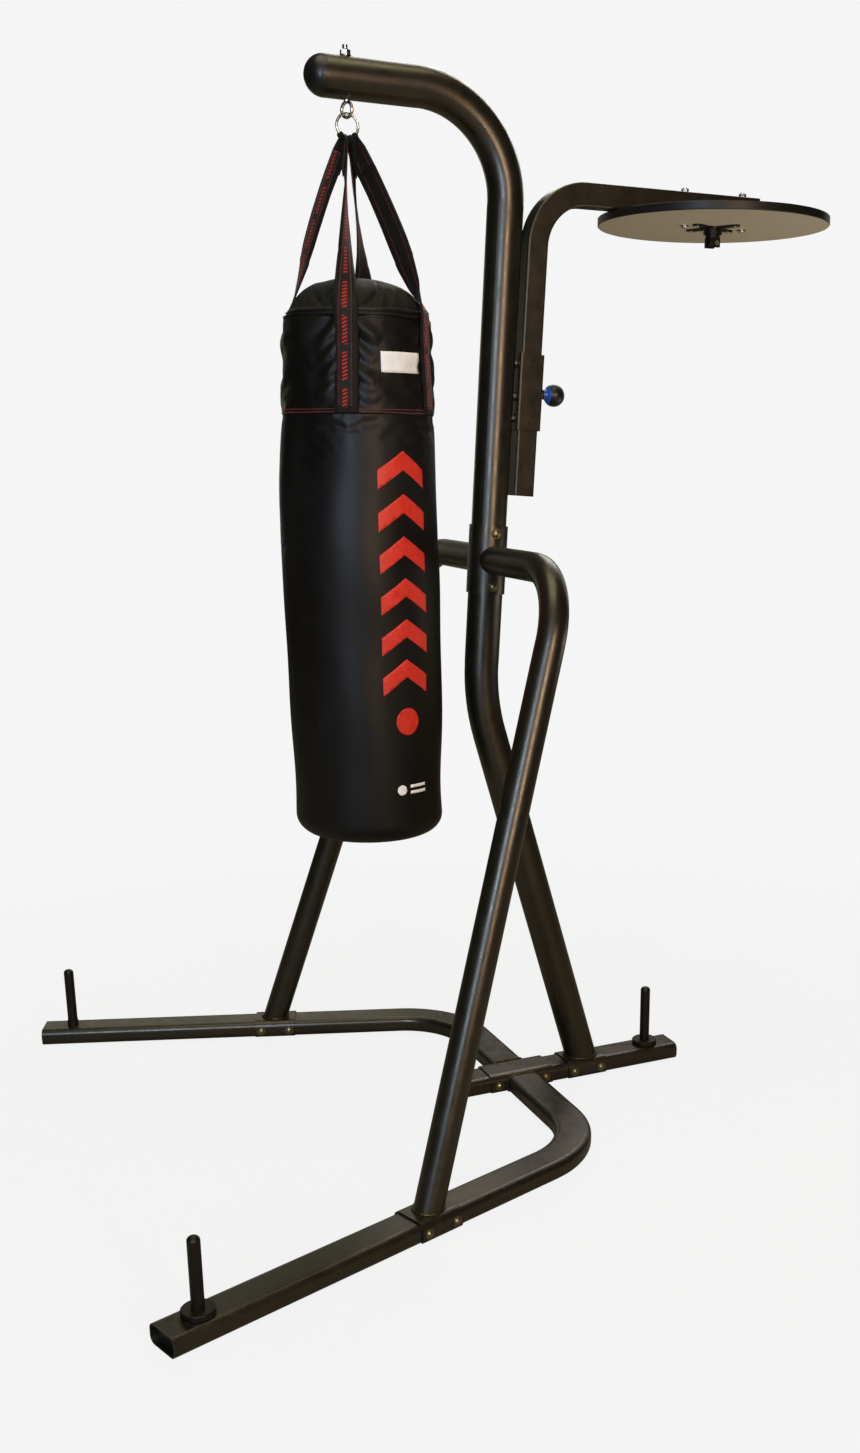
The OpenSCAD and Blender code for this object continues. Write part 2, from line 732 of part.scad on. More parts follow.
module swivel_screws() {
    color(zinc) for (k = [0:3]) from_mast()
        translate([0, board_back, board_low_z - swivel_plate_t])
            rotate([0, 0, plate_turn + 90 * k]) translate([screw_reach, 0, 0])
                rotate_extrude() polygon([[0, -3], [2.5, -2.6], [4.2, -1.4], [4.6, -0.05], [2, -0.05],
                    [2, swivel_plate_t + board_t / 2 - 1], [0, swivel_plate_t + board_t / 2 - 1]]);
}

// Turning head of the swivel: stem in the boss, round flange and two ears
module swivel_head() {
    stem_r = stem_hole_r - run_gap;
    ear_w = 7;
    ear_len = 20;
    pin_hole_r = 3.2;
    low = -boss_h - run_gap;
    color(black) from_mast() translate([0, board_back, board_low_z]) difference() {
        union() {
            translate([0, 0, low]) cylinder(r = stem_r, h = boss_h - 5);
            translate([0, 0, low - flange_h]) cylinder(r = head_r, h = flange_h);
            for (s = [-1, 1]) translate([s * (head_r - ear_w / 2 - 1), 0, low - flange_h - ear_drop / 2])
                cube([ear_w, ear_len, ear_drop], center = true);
        }
        translate([0, 0, low - flange_h - ear_drop + pin_above_tip]) rotate([0, 90, 0])
            cylinder(r = pin_hole_r, h = 4 * head_r, center = true);
    }
}

module swivel_pin() {
    low = board_low_z - boss_h - run_gap - flange_h - ear_drop + pin_above_tip;
    pin_len = 2 * head_r + 3;
    color(zinc) from_mast() translate([0, board_back, low]) rotate([0, 90, 0]) union() {
        cylinder(r = 3, h = pin_len, center = true);
        for (s = [-1, 1]) translate([0, 0, s * (pin_len / 2 + 1)])
            cylinder(r = 5, h = 2.4, center = true);
    }
}

// ---- Pull pin that locks the platform's height; built along +Z, placed along the sleeve's rear ----
module on_lock() {
    on_beam(sleeve_z) rotate([-90, 0, 0]) children();
}

module lock_bush() {
    color(zinc) on_lock() translate([0, 0, lock_face + 0.05]) difference() {
        union() {
            cylinder(r = 9.5, h = 3.5, $fn = 6);
            cylinder(r = 7.5, h = bush_len);
        }
        translate([0, 0, -1]) cylinder(r = lock_r + run_gap, h = bush_len + 2);
    }
}

module lock_pin() {
    nose = beam_w / 2 + 0.4;
    color(zinc) on_lock() translate([0, 0, nose]) cylinder(r = lock_r, h = knob_cut + 6 - nose);
}

module lock_collar() {
    start = lock_face + bush_len + 1.5;
    color("#2f6fc4") on_lock() rotate_extrude() polygon(concat(
        [[lock_r + 0.05, start], [9, start]],
        [for (a = [-60:6:-34]) [knob_r * cos(a) * 0.98, knob_mid + knob_r * sin(a) + 0.02]],
        [[lock_r + 0.05, knob_mid + knob_r * sin(-36)]]));
}

module lock_knob() {
    flat = -33.5;
    bore_top = knob_cut + 6.2;
    color(black) on_lock() rotate_extrude() polygon(concat(
        [[lock_r + 0.05, knob_mid + knob_r * sin(flat)]],
        arc(0, knob_mid, knob_r, flat, 90, 14),
        [[0, bore_top], [lock_r + 0.05, bore_top]]));
}

color(steel) side_tube();  // base_right_tube
color(steel) left_side() side_tube();  // base_left_tube
rear_leg();
centre_bracket();
centre_bolts();
color(steel) on_right_leg(strut_inset) saddle();  // right_saddle
color(steel) left_side() on_right_leg(strut_inset) saddle();  // left_saddle
color(steel) at_mast_foot() saddle();  // rear_saddle
right_saddle_bolts();
left_saddle_bolts();
color(zinc) at_mast_foot() bolt_pair(saddle_bolt_gap);  // rear_saddle_bolts
color(black) on_right_leg() leg_plug();  // right_leg_plug
color(black) left_side() on_right_leg() leg_plug();  // left_leg_plug
color(black) on_rear_leg() leg_plug();  // rear_leg_plug
color(black) on_right_leg(peg_inset) peg();  // right_peg
color(black) left_side() on_right_leg(peg_inset) peg();  // left_peg
color(black) on_rear_leg(peg_inset) peg();  // rear_peg
color(black) on_right_leg(peg_inset) collar();  // right_collar
color(black) on_rear_leg(peg_inset) collar();  // rear_collar
lower_mast();
upper_mast();
mast_coupling();
mast_end_cap();
color(steel) clamp_half();  // right_clamp
color(steel) left_side() clamp_half();  // left_clamp
clamp_bolts();
color(steel) strut();  // right_strut
color(steel) left_side() strut();  // left_strut
eyebolt();
eyebolt_nut();
hook_ring();
bag_loop();
bag_skin();
bag_filling();
bag_top_cover();
bag_top_band();
bag_rim_piping();
strap(0);  // strap_near_right
strap(1);  // strap_rear_right
strap(2);  // strap_rear_left
strap(3);  // strap_near_left
sleeve();
sleeve_liner();
sleeve_bolts();
platform_beam();
beam_end_cap();
color(black) on_beam(beam_low_z) beam_plug();  // beam_foot_cap
platform_board();
board_bolts();
swivel_plate();
swivel_screws();
swivel_head();
swivel_pin();
lock_bush();
lock_pin();
lock_collar();
lock_knob();
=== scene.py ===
"""Looks of the punching bag on its stand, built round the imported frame.

Metres, +Z up, the bag toward -Y and the speed bag board toward +Y.
Sections: camera and stage, node looks, mesh helpers, stand details, bag, straps, prints.
"""

import json
import math
import random

import bmesh
import bpy
import numpy as np
from mathutils import Matrix, Vector
from mathutils.bvhtree import BVHTree


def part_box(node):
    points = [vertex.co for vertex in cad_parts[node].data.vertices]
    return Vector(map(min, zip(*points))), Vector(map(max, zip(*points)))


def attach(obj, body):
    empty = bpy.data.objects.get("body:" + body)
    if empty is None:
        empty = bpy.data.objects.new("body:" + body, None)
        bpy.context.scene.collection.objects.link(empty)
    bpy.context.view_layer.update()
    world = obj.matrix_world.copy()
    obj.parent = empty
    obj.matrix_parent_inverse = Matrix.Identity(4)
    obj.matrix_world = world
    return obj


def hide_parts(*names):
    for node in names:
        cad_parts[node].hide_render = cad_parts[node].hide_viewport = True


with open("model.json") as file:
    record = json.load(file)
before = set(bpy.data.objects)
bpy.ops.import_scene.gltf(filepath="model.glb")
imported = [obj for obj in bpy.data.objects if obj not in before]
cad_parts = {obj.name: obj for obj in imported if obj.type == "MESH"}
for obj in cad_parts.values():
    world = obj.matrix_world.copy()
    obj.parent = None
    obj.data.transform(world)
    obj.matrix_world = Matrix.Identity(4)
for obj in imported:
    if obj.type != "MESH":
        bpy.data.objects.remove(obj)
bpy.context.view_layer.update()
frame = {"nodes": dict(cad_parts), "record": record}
nodes = frame["nodes"]
MM = 0.001
rng = random.Random(7)

# ---------------------------------------------------------------- camera, light and floor
CAMERA_AT = Vector((2.7616, -1.1125, 1.3690))
CAMERA_YAW, CAMERA_PITCH, CAMERA_ROLL = (math.radians(v) for v in (64.211, 16.283, 0.380))
CAMERA_LENS = 36.072
CAMERA_SHIFT = (-0.085, 0.1033)
BACKDROP = 0.915
FLOOR_RADIUS = 40
WORLD_LIGHT = 0.03
# the floor's share of real shadow, and the distances between which it fades out
FLOOR_SHADE, SHADE_FROM, SHADE_TO = 0.07, 0.8, 2.6
# name, place, aim, size, watts, colour
LIGHTS = (
    ("cool_strip", (3.75, -2.8, 2.0), (0, -0.1, 1.4), (0.7, 1.9), 92, (0.60, 0.76, 1)),
    ("warm_strip", (4.75, -0.05, 2.0), (0, -0.05, 1.4), (0.7, 1.9), 100, (1, 0.72, 0.50)),
    ("soft_key", (3.6, -2.2, 4.4), (0, -0.1, 0.9), (3.2, 3.2), 26, (1, 0.96, 0.9)),
    ("ceiling", (0.4, -0.3, 4.4), (0, 0, 0), (2.2, 2.2), 44, (1, 0.91, 0.58)),
    ("rear_left", (-4.2, 0.1, 1.6), (0, -0.3, 0.6), (2.4, 1.6), 9, (1, 0.95, 0.72)),
    ("board_glow", (0.35, 1.0, 0.95), (0.25, 0.9, 1.8), (0.6, 0.6), 2.4, (1, 0.93, 0.78)),
    ("rear_right", (-2.6, 4.0, 2.4), (0, 0, 1.0), (2.0, 2.6), 16, (1, 0.95, 0.88)),
    ("rear_top", (-2.8, 2.0, 4.0), (0, 0, 0.9), (2.4, 2.4), 75, (1, 0.95, 0.88)),
)


def make_camera():
    back = Vector((
        math.sin(CAMERA_YAW) * math.cos(CAMERA_PITCH),
        -math.cos(CAMERA_YAW) * math.cos(CAMERA_PITCH),
        math.sin(CAMERA_PITCH),
    ))
    level = (-back).cross(Vector((0, 0, 1))).normalized()
    upright = level.cross(-back)
    right = level * math.cos(CAMERA_ROLL) + upright * math.sin(CAMERA_ROLL)
    up = upright * math.cos(CAMERA_ROLL) - level * math.sin(CAMERA_ROLL)
    data = bpy.data.cameras.new("camera")
    data.lens = CAMERA_LENS
    data.shift_x, data.shift_y = CAMERA_SHIFT
    camera = bpy.data.objects.new("camera", data)
    camera.matrix_world = Matrix.Translation(CAMERA_AT) @ Matrix((right, up, back)).transposed().to_4x4()
    bpy.context.scene.collection.objects.link(camera)
    bpy.context.scene.camera = camera


def area_light(name, at, aim, size, power, color):
    """A rectangular lamp that the camera does not see."""
    data = bpy.data.lights.new(name, "AREA")
    data.shape = "RECTANGLE"
    data.size, data.size_y = size
    data.energy = power
    data.color = color
    light = bpy.data.objects.new(name, data)
    light.location = at
    light.rotation_euler = (Vector(aim) - Vector(at)).to_track_quat("-Z", "Y").to_euler()
    light.visible_camera = False
    bpy.context.scene.collection.objects.link(light)


def make_world():
    """Pale backdrop for the camera, softer grey light for the object."""
    world = bpy.data.worlds.new("studio")
    bpy.context.scene.world = world
    world.use_nodes = True
    tree = world.node_tree
    tree.nodes.clear()
    seen = tree.nodes.new("ShaderNodeBackground")
    seen.inputs["Color"].default_value = (BACKDROP, BACKDROP, BACKDROP, 1)
    light = tree.nodes.new("ShaderNodeBackground")
    light.inputs["Color"].default_value = (1, 0.94, 0.82, 1)
    light.inputs["Strength"].default_value = WORLD_LIGHT
    path = tree.nodes.new("ShaderNodeLightPath")
    mix = tree.nodes.new("ShaderNodeMixShader")
    out = tree.nodes.new("ShaderNodeOutputWorld")
    tree.links.new(path.outputs["Is Camera Ray"], mix.inputs[0])
    tree.links.new(light.outputs[0], mix.inputs[1])
    tree.links.new(seen.outputs[0], mix.inputs[2])
    tree.links.new(mix.outputs[0], out.inputs[0])


def make_floor():
    """Seamless pale floor: the backdrop's tone, with a share of soft shadow near the object."""
    bpy.ops.mesh.primitive_circle_add(vertices=96, radius=FLOOR_RADIUS, fill_type="NGON")
    floor = bpy.context.object
    floor.name = "floor"
    mat = bpy.data.materials.new("floor_paper")
    mat.use_nodes = True
    tree = mat.node_tree
    tree.nodes.clear()

    def add(kind, **inputs):
        made = tree.nodes.new("ShaderNode" + kind)
        for key, value in inputs.items():
            made.inputs[key.replace("_", " ")].default_value = value
        return made

    paper = add("BsdfDiffuse", Color=(0.9, 0.9, 0.9, 1))
    bounce = add("BsdfDiffuse", Color=(0.34, 0.31, 0.24, 1))
    glow = add("Emission", Color=(BACKDROP, BACKDROP, BACKDROP, 1), Strength=1)
    length = tree.nodes.new("ShaderNodeVectorMath")
    length.operation = "LENGTH"
    fade = add("MapRange", From_Min=SHADE_FROM, From_Max=SHADE_TO, To_Min=FLOOR_SHADE, To_Max=0.0)
    fade.interpolation_type = "SMOOTHSTEP"
    seen, split = add("MixShader"), add("MixShader")
    path, out, where = add("LightPath"), add("OutputMaterial"), add("TexCoord")
    for a, b in (
        (where.outputs["Object"], length.inputs[0]), (length.outputs["Value"], fade.inputs["Value"]),
        (fade.outputs[0], seen.inputs[0]), (glow.outputs[0], seen.inputs[1]),
        (paper.outputs[0], seen.inputs[2]),
        (path.outputs["Is Camera Ray"], split.inputs[0]), (bounce.outputs[0], split.inputs[1]),
        (seen.outputs[0], split.inputs[2]), (split.outputs[0], out.inputs[0]),
    ):
        tree.links.new(a, b)
    floor.data.materials.append(mat)


# ---------------------------------------------------------------- node looks
class Look:
    """A procedural material: one Principled shader with small helpers for its textures."""

    def __init__(self, name, **values):
        self.mat = bpy.data.materials.new(name)
        self.mat.use_nodes = True
        self.tree = self.mat.node_tree
        self.shader = self.tree.nodes["Principled BSDF"]
        self.normal = None
        for key, value in values.items():
            self.set(key.replace("_", " ").title().replace("Ior", "IOR"), value)

    def set(self, socket, value):
        """Sets a socket of the shader, or links an output to it."""
        if isinstance(value, bpy.types.NodeSocket):
            self.tree.links.new(value, self.shader.inputs[socket])
        elif isinstance(value, tuple):
            slot = self.shader.inputs[socket]
            slot.default_value = (*value, 1)[: len(slot.default_value)]
        else:
            self.shader.inputs[socket].default_value = value

    def node(self, kind, inputs=(), **props):
        made = self.tree.nodes.new("ShaderNode" + kind)
        for key, value in props.items():
            setattr(made, key, value)
        for socket, value in dict(inputs).items():
            if isinstance(value, bpy.types.NodeSocket):
                self.tree.links.new(value, made.inputs[socket])
            else:
                made.inputs[socket].default_value = value
        return made

    def place(self, stretch=(1, 1, 1), uv=False):
        """Object coordinates in metres, or the piece's own UV map, stretched."""
        source = self.node("TexCoord").outputs["UV" if uv else "Object"]
        return self.node("Mapping", {"Vector": source, "Scale": stretch}).outputs[0]

    def noise(self, scale, detail, rough=0.5, stretch=(1, 1, 1), uv=False):
        spot = self.place(stretch, uv)
        inputs = {"Vector": spot, "Scale": scale, "Detail": detail, "Roughness": rough}
        return self.node("TexNoise", inputs).outputs["Fac"]

    def cells(self, scale):
        return self.node("TexVoronoi", {"Vector": self.place(), "Scale": scale}).outputs["Distance"]

    def waves(self, scale, distortion, way, spot):
        inputs = {"Vector": spot, "Scale": scale, "Distortion": distortion}
        return self.node("TexWave", inputs, bands_direction=way).outputs["Fac"]

    def facing_up(self):
        """Upward part of the surface's normal."""
        return self.node("SeparateXYZ", {"Vector": self.node("NewGeometry").outputs["Normal"]}).outputs["Z"]

    def math(self, operation, a, b=0.0):
        return self.node("Math", {0: a, 1: b}, operation=operation).outputs[0]

    def times(self, a, b):
        return self.math("MULTIPLY", a, b)

    def span(self, value, low, high, to_low=0.0, to_high=1.0):
        """Maps low..high to to_low..to_high, held at the ends."""
        inputs = {"Value": value, "From Min": low, "From Max": high, "To Min": to_low, "To Max": to_high}
        return self.node("MapRange", inputs).outputs[0]

    def mix(self, share, a, b):
        made = self.node("Mix", data_type="RGBA")
        for socket, value in ((made.inputs[0], share), (made.inputs[6], a), (made.inputs[7], b)):
            if isinstance(value, bpy.types.NodeSocket):
                self.tree.links.new(value, socket)
            else:
                socket.default_value = (*value, 1) if isinstance(value, tuple) else value
        return made.outputs[2]

    def bump(self, height, strength, depth):
        """Adds a layer of relief, depth metres from low to high."""
        inputs = {"Height": height, "Strength": strength, "Distance": depth}
        if self.normal:
            inputs["Normal"] = self.normal
        self.normal = self.node("Bump", inputs).outputs[0]
        self.set("Normal", self.normal)


# paler olive for faces turned up: partly dust, partly painted light from above
DUST_AND_PAINTED_TOP_LIGHT = (0.050, 0.043, 0.024)
VINYL_GRAIN = 620  # pebbles a metre, also seen through the ink


def powder_coat(name, dark, light, rough, gloss):
    """Satin powder coat: orange peel, fine flake, soft smudges, rubbed spots, and dust with painted light
    from above on what faces up.
    """
    look = Look(name, specular_ior_level=gloss)
    look.set("Specular Tint", (1.0, 0.93, 0.80))
    smudge = look.noise(9, 4, 0.6)
    tone = look.mix(look.span(smudge, 0.35, 0.7), dark, light)
    flake = look.span(look.cells(1500), 0.0, 0.22, 1.0, 0.0)
    rubbed = tuple(min(1, 2.6 * c) for c in light)
    tone = look.mix(look.times(flake, 0.3), tone, rubbed)
    # faces turned up: dust makes them rougher, painted light from above makes them paler olive
    dust_and_top_light = look.times(look.span(look.facing_up(), 0.55, 0.95), look.span(look.noise(70, 5, 0.6), 0.42, 0.75))
    look.set("Base Color", look.mix(look.times(dust_and_top_light, 0.35), tone, DUST_AND_PAINTED_TOP_LIGHT))
    wear = look.span(look.noise(34, 5, 0.65), 0.3, 0.75, rough - 0.05, rough + 0.09)
    look.set("Roughness", look.math("ADD", wear, look.times(dust_and_top_light, 0.12)))
    look.bump(look.noise(700, 2), 0.14, 0.1 * MM)
    return look.mat


def plated_steel(name, tint, rough):
    """Zinc-plated steel: brushed grain and cloudy plating with duller patches."""
    look = Look(name, metallic=1.0)
    cloud = look.noise(120, 4, 0.6)
    dull = tuple(0.6 * c for c in tint)
    look.set("Base Color", look.mix(look.span(cloud, 0.35, 0.72), tint, dull))
    look.set("Roughness", look.span(cloud, 0.3, 0.7, rough - 0.08, rough + 0.12))
    look.bump(look.noise(900, 2, 0.5, (1, 1, 0.15)), 0.2, 0.08 * MM)
    return look.mat


def moulded_plastic(name, color, rough, grain=0.3):
    """Moulded plastic: fine spark grain, paler where it is handled."""
    look = Look(name, specular_ior_level=0.45)
    wear = look.noise(40, 4, 0.6)
    paler = tuple(1.5 * c + 0.006 for c in color)
    look.set("Base Color", look.mix(look.span(wear, 0.45, 0.8), color, paler))
    look.set("Roughness", look.span(wear, 0.3, 0.75, rough - 0.06, rough + 0.12))
    look.bump(look.cells(1300), grain, 0.08 * MM)
    return look.mat


def grained_vinyl(name, color, rough):
    """Coated fabric of the bag: pebbled grain, faint handling marks and pressed scuffs."""
    look = Look(name, specular_ior_level=0.24)
    marks = look.noise(7, 5, 0.62, (1, 1, 0.35))
    scuffs = look.span(look.noise(55, 6, 0.7, (1, 1, 0.2)), 0.62, 0.8)
    paler = tuple(1.8 * c + 0.002 for c in color)
    tone = look.mix(look.span(marks, 0.4, 0.75), color, paler)
    dusty = (0.018, 0.016, 0.013)
    look.set("Base Color", look.mix(look.times(scuffs, 0.45), tone, dusty))
    look.set("Roughness", look.span(marks, 0.3, 0.75, rough - 0.05, rough + 0.09))
    look.bump(look.cells(VINYL_GRAIN), 0.35, 0.22 * MM)
    look.bump(look.noise(1500, 2), 0.2, 0.06 * MM)
    look.bump(look.noise(22, 3), 0.3, 1.2 * MM)
    return look.mat


def woven_cloth(name, color, light):
    """Plain-weave nylon of the cover: crossed ribs of half a millimetre, with a soft sheen."""
    look = Look(name, sheen_weight=0.04, sheen_roughness=0.5, specular_ior_level=0.2)
    spot = look.place()
    weave = look.times(*(look.waves(420, 0.6, way, spot) for way in ("X", "Y")))
    look.set("Base Color", look.mix(look.span(look.noise(14, 4), 0.35, 0.7), color, light))
    look.set("Roughness", look.span(weave, 0, 1, 0.62, 0.8))
    look.bump(weave, 0.5, 0.25 * MM)
    look.bump(look.noise(90, 3), 0.3, 0.6 * MM)
    return look.mat


def webbing(name, color, light):
    """Strap webbing: ribs across and a faint twill, from the strap's own UV in metres."""
    look = Look(name, sheen_weight=0.06, sheen_roughness=0.5, specular_ior_level=0.2)
    spot = look.place(uv=True)
    rib = look.waves(210, 0.35, "Y", spot)
    twill = look.waves(300, 0.2, "DIAGONAL", spot)
    height = look.math("ADD", look.times(rib, 0.7), look.times(twill, 0.3))
    look.set("Base Color", look.mix(look.times(height, look.noise(300, 3)), color, light))
    look.set("Roughness", look.span(height, 0, 1, 0.55, 0.75))
    look.bump(height, 0.6, 0.3 * MM)
    return look.mat


# the tape's pattern: one dash, a group of dashes with its gap, their width, slant and place
DASH_PITCH, DASH_GROUP, DASH_W = 6.4 * MM, 62 * MM, 8.8 * MM
DASH_SLANT = 0.45
DASH_OFF_CENTRE = 1.0 * MM


def badge_tape(name, color, red):
    """Narrow woven tape: black ground with groups of short slanted red dashes down the middle."""
    look = Look(name, sheen_weight=0.15, sheen_roughness=0.5, specular_ior_level=0.25)
    parts = look.node("SeparateXYZ", {"Vector": look.place(uv=True)})
    across, along = parts.outputs["X"], parts.outputs["Y"]
    off = look.math("ABSOLUTE", look.math("ADD", across, DASH_OFF_CENTRE))
    slanted = look.math("ADD", along, look.times(across, DASH_SLANT))
    dash = look.math("LESS_THAN", look.math("FRACT", look.times(slanted, 1 / DASH_PITCH)), 0.5)
    group = look.math("LESS_THAN", look.math("FRACT", look.times(along, 1 / DASH_GROUP)), 0.8)
    inner = look.math("LESS_THAN", off, DASH_W / 2)
    motif = look.times(look.times(dash, group), inner)
    rib = look.waves(320, 0.0, "Y", look.place(uv=True))
    yarn = look.times(motif, look.span(look.noise(900, 2, uv=True), 0.3, 0.6, 0.6, 1.0))
    look.set("Base Color", look.mix(yarn, color, red))
    look.set("Roughness", 0.62)
    look.bump(rib, 0.5, 0.2 * MM)
    look.bump(motif, 0.4, 0.25 * MM)
    return look.mat


def printed_ink(name, color):
    """Screen-printed ink on vinyl: slight mottling, the grain showing through and a few worn specks."""
    look = Look(name, specular_ior_level=0.4)
    mottle = look.noise(70, 5, 0.65)
    worn = look.span(look.noise(420, 4, 0.7), 0.66, 0.76)
    paler = tuple(min(1, 1.25 * c + 0.01) for c in color)
    darker = tuple(0.45 * c for c in color)
    tone = look.mix(look.span(mottle, 0.3, 0.75), color, paler)
    look.set("Base Color", look.mix(look.times(worn, 0.7), tone, darker))
    look.set("Roughness", look.span(mottle, 0.3, 0.7, 0.4, 0.52))
    look.bump(look.cells(VINYL_GRAIN), 0.3, 0.2 * MM)
    return look.mat


def thread(name, color):
    """Sewing thread: two shades of one colour, slightly fuzzy."""
    look = Look(name, sheen_weight=0.3, roughness=0.6)
    look.set("Base Color", look.mix(look.noise(1500, 2), color, tuple(0.5 * c for c in color)))
    look.bump(look.noise(2500, 2), 0.3, 0.08 * MM)
    return look.mat


def board_finish(name):
    """Laminated board: taupe grain underneath, black film on the top and the edge."""
    look = Look(name, specular_ior_level=0.3)
    inputs = {"Vector": look.place((1, 0.12, 1)), "Scale": 26, "Distortion": 6, "Detail": 4}
    grain = look.node("TexWave", inputs, bands_direction="X").outputs["Fac"]
    fine = look.noise(260, 4, 0.7, (1, 0.06, 1))
    tone = look.mix(look.span(grain, 0.2, 0.8, 0.0, 0.5), (0.66, 0.60, 0.49), (0.55, 0.49, 0.39))
    tone = look.mix(look.span(fine, 0.5, 0.8, 0.0, 0.4), tone, (0.22, 0.18, 0.125))
    under = look.math("LESS_THAN", look.facing_up(), -0.8)
    look.set("Base Color", look.mix(under, (0.008, 0.0072, 0.006), tone))
    look.set("Roughness", look.span(fine, 0.3, 0.7, 0.38, 0.5))
    look.bump(fine, 0.15, 0.1 * MM)
    return look.mat


def weld_metal(name):
    """Bare weld under a thin lacquer: golden green with blue-brown heat tint."""
    look = Look(name, metallic=0.8)
    heat = look.noise(70, 3)
    golden, blued = (0.085, 0.068, 0.028), (0.032, 0.027, 0.016)
    look.set("Base Color", look.mix(look.span(heat, 0.35, 0.65), golden, blued))
    look.set("Roughness", look.span(heat, 0.3, 0.7, 0.38, 0.52))
    look.bump(look.noise(500, 3), 0.3, 0.2 * MM)
    return look.mat


looks = {
    "frame_steel": powder_coat(
        "powder_coat_bronze", (0.0050, 0.0044, 0.0026), (0.0085, 0.0074, 0.0044), rough=0.335, gloss=0.8
    ),
    "black_steel": powder_coat(
        "powder_coat_black", (0.0030, 0.0027, 0.0021), (0.0060, 0.0053, 0.0040), rough=0.40, gloss=0.36
    ),
    "zinc_steel": plated_steel("zinc_plate", (0.30, 0.26, 0.145), 0.36),
    "black_plastic": moulded_plastic("plastic_black", (0.006, 0.006, 0.006), 0.36),
    "blue_plastic": moulded_plastic("plastic_blue", (0.020, 0.075, 0.36), 0.28, 0.1),
    "black_vinyl": grained_vinyl("vinyl_black", (0.0042, 0.0038, 0.0034), 0.44),
    "cover_cloth": woven_cloth("cover_cloth", (0.0026, 0.0028, 0.0014), (0.0065, 0.0066, 0.0034)),
    "webbing": webbing("webbing_black", (0.0030, 0.0027, 0.0023), (0.010, 0.0086, 0.0072)),
    "board_wood": board_finish("board_laminate"),
    "bright_zinc": plated_steel("zinc_bright", (0.74, 0.72, 0.66), 0.2),
    "tape": badge_tape("badge_tape", (0.006, 0.004, 0.004), (0.52, 0.018, 0.010)),
    "ink": printed_ink("ink_red", (0.60, 0.026, 0.012)),
    "ink_white": printed_ink("ink_white", (0.84, 0.85, 0.84)),
    "thread": thread("thread_red", (0.34, 0.012, 0.008)),
    "black_thread": thread("thread_black", (0.012, 0.011, 0.010)),
    "weld": weld_metal("weld_metal"),
}

# nodes whose plating shows brighter, or whose coat shows blacker, than their record slot
BRIGHT_NODES = (
    "eyebolt", "eyebolt_nut", "hook_ring", "sleeve_bolts", "swivel_screws", "board_bolts", "swivel_pin",
)
BLACK_NODES = ("right_peg", "rear_peg")


def finish_cad_nodes():
    """Gives every CAD node the look of its record slot."""
    for part in frame["record"]["subparts"]:
        look = looks.get(part["material_slot"])
        if part["node"] in BRIGHT_NODES:
            look = looks["bright_zinc"]
        elif part["node"] in BLACK_NODES:
            look = looks["black_steel"]
        if look:
            nodes[part["node"]].data.materials.clear()
            nodes[part["node"]].data.materials.append(look)


# ---------------------------------------------------------------- mesh helpers
def mesh_object(name, points, faces, look, uvs=None):
    """A smooth mesh object; uvs holds one (u, v) a point."""
    mesh = bpy.data.meshes.new(name)
    mesh.from_pydata([tuple(p) for p in points], [], faces)
    if uvs is not None:
        layer = mesh.uv_layers.new(name="uv")
        for loop in mesh.loops:
            layer.data[loop.index].uv = uvs[loop.vertex_index]
    mesh.validate()
    mesh.shade_smooth()
    mesh.materials.append(look)
    made = bpy.data.objects.new(name, mesh)
    bpy.context.scene.collection.objects.link(made)
    return made


def loft(name, rings, look, closed=False, uvs=None):
    """Joins rings of equally many points with quads; the ends are joined if closed, else capped."""
    count, around = len(rings), len(rings[0])
    faces = []
    for i in range(count if closed else count - 1):
        a, b = i * around, (i + 1) % count * around
        faces += [(a + j, a + (j + 1) % around, b + (j + 1) % around, b + j) for j in range(around)]
    if not closed:
        faces += [tuple(range(around))[::-1], tuple(range((count - 1) * around, count * around))]
    return mesh_object(name, [p for ring in rings for p in ring], faces, look, uvs)


def tube(name, path, radius, look, sides=10, ripple=0.0):
    """A round bead along a closed path; ripple swells it in short steps like a weld."""
    rings = []
    count = len(path)
    for i, point in enumerate(path):
        ahead = (path[(i + 1) % count] - path[i - 1]).normalized()
        side = ahead.cross(Vector((0.31, 0.17, 0.94))).normalized()
        up = side.cross(ahead)
        r = radius * (1 + ripple * math.sin(i * math.pi / 2) + ripple * 0.5 * rng.uniform(-1, 1))
        turns = [2 * math.pi * k / sides for k in range(sides)]
        rings.append([point + side * (r * math.cos(t)) + up * (r * math.sin(t)) for t in turns])
    return loft(name, rings, look, closed=True)


def keep(obj, body, slot, *stands_for):
    """The piece rides on a body and may stand for CAD nodes, which are hidden; slot is not used."""
    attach(obj, body)
    if stands_for:
        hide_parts(*stands_for)
    return obj


# ---------------------------------------------------------------- stand details
OUTLINE_STEP = 8  # degrees
WELD_STEP, WELD_RIPPLE = 1.6 * MM, 0.06
FOOT_BEAD, BASE_BEAD = 3.2 * MM, 2.6 * MM
BEAD_CLEAR_OF_FLOOR = 0.3 * MM
TUBE_CORNER = 12 * MM


def resample(path, step):
    """Even points round a closed path."""
    sides = [(path[i], path[(i + 1) % len(path)]) for i in range(len(path))]
    count = max(12, round(sum((b - a).length for a, b in sides) / step))
    total = sum((b - a).length for a, b in sides)
    made, walked, k = [], 0.0, 0
    for i in range(count):
        target = total * i / count
        while walked + (sides[k][1] - sides[k][0]).length < target:
            walked += (sides[k][1] - sides[k][0]).length
            k += 1
        a, b = sides[k]
        made.append(a.lerp(b, (target - walked) / (b - a).length))
    return made


def foot_outline(node):
    """The outer outline of a tube where it stands on its saddle, one point every few degrees."""
    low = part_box(node)[0].z
    feet = [v.co.copy() for v in nodes[node].data.vertices if v.co.z < low + 0.5 * MM]
    centre = sum(feet, Vector()) / len(feet)
    by_turn = {}
    for p in feet:
        key = round(math.degrees(math.atan2(p.y - centre.y, p.x - centre.x)) / OUTLINE_STEP)
        if key not in by_turn or (p - centre).length > (by_turn[key] - centre).length:
            by_turn[key] = p
    return [by_turn[k] for k in sorted(by_turn)]


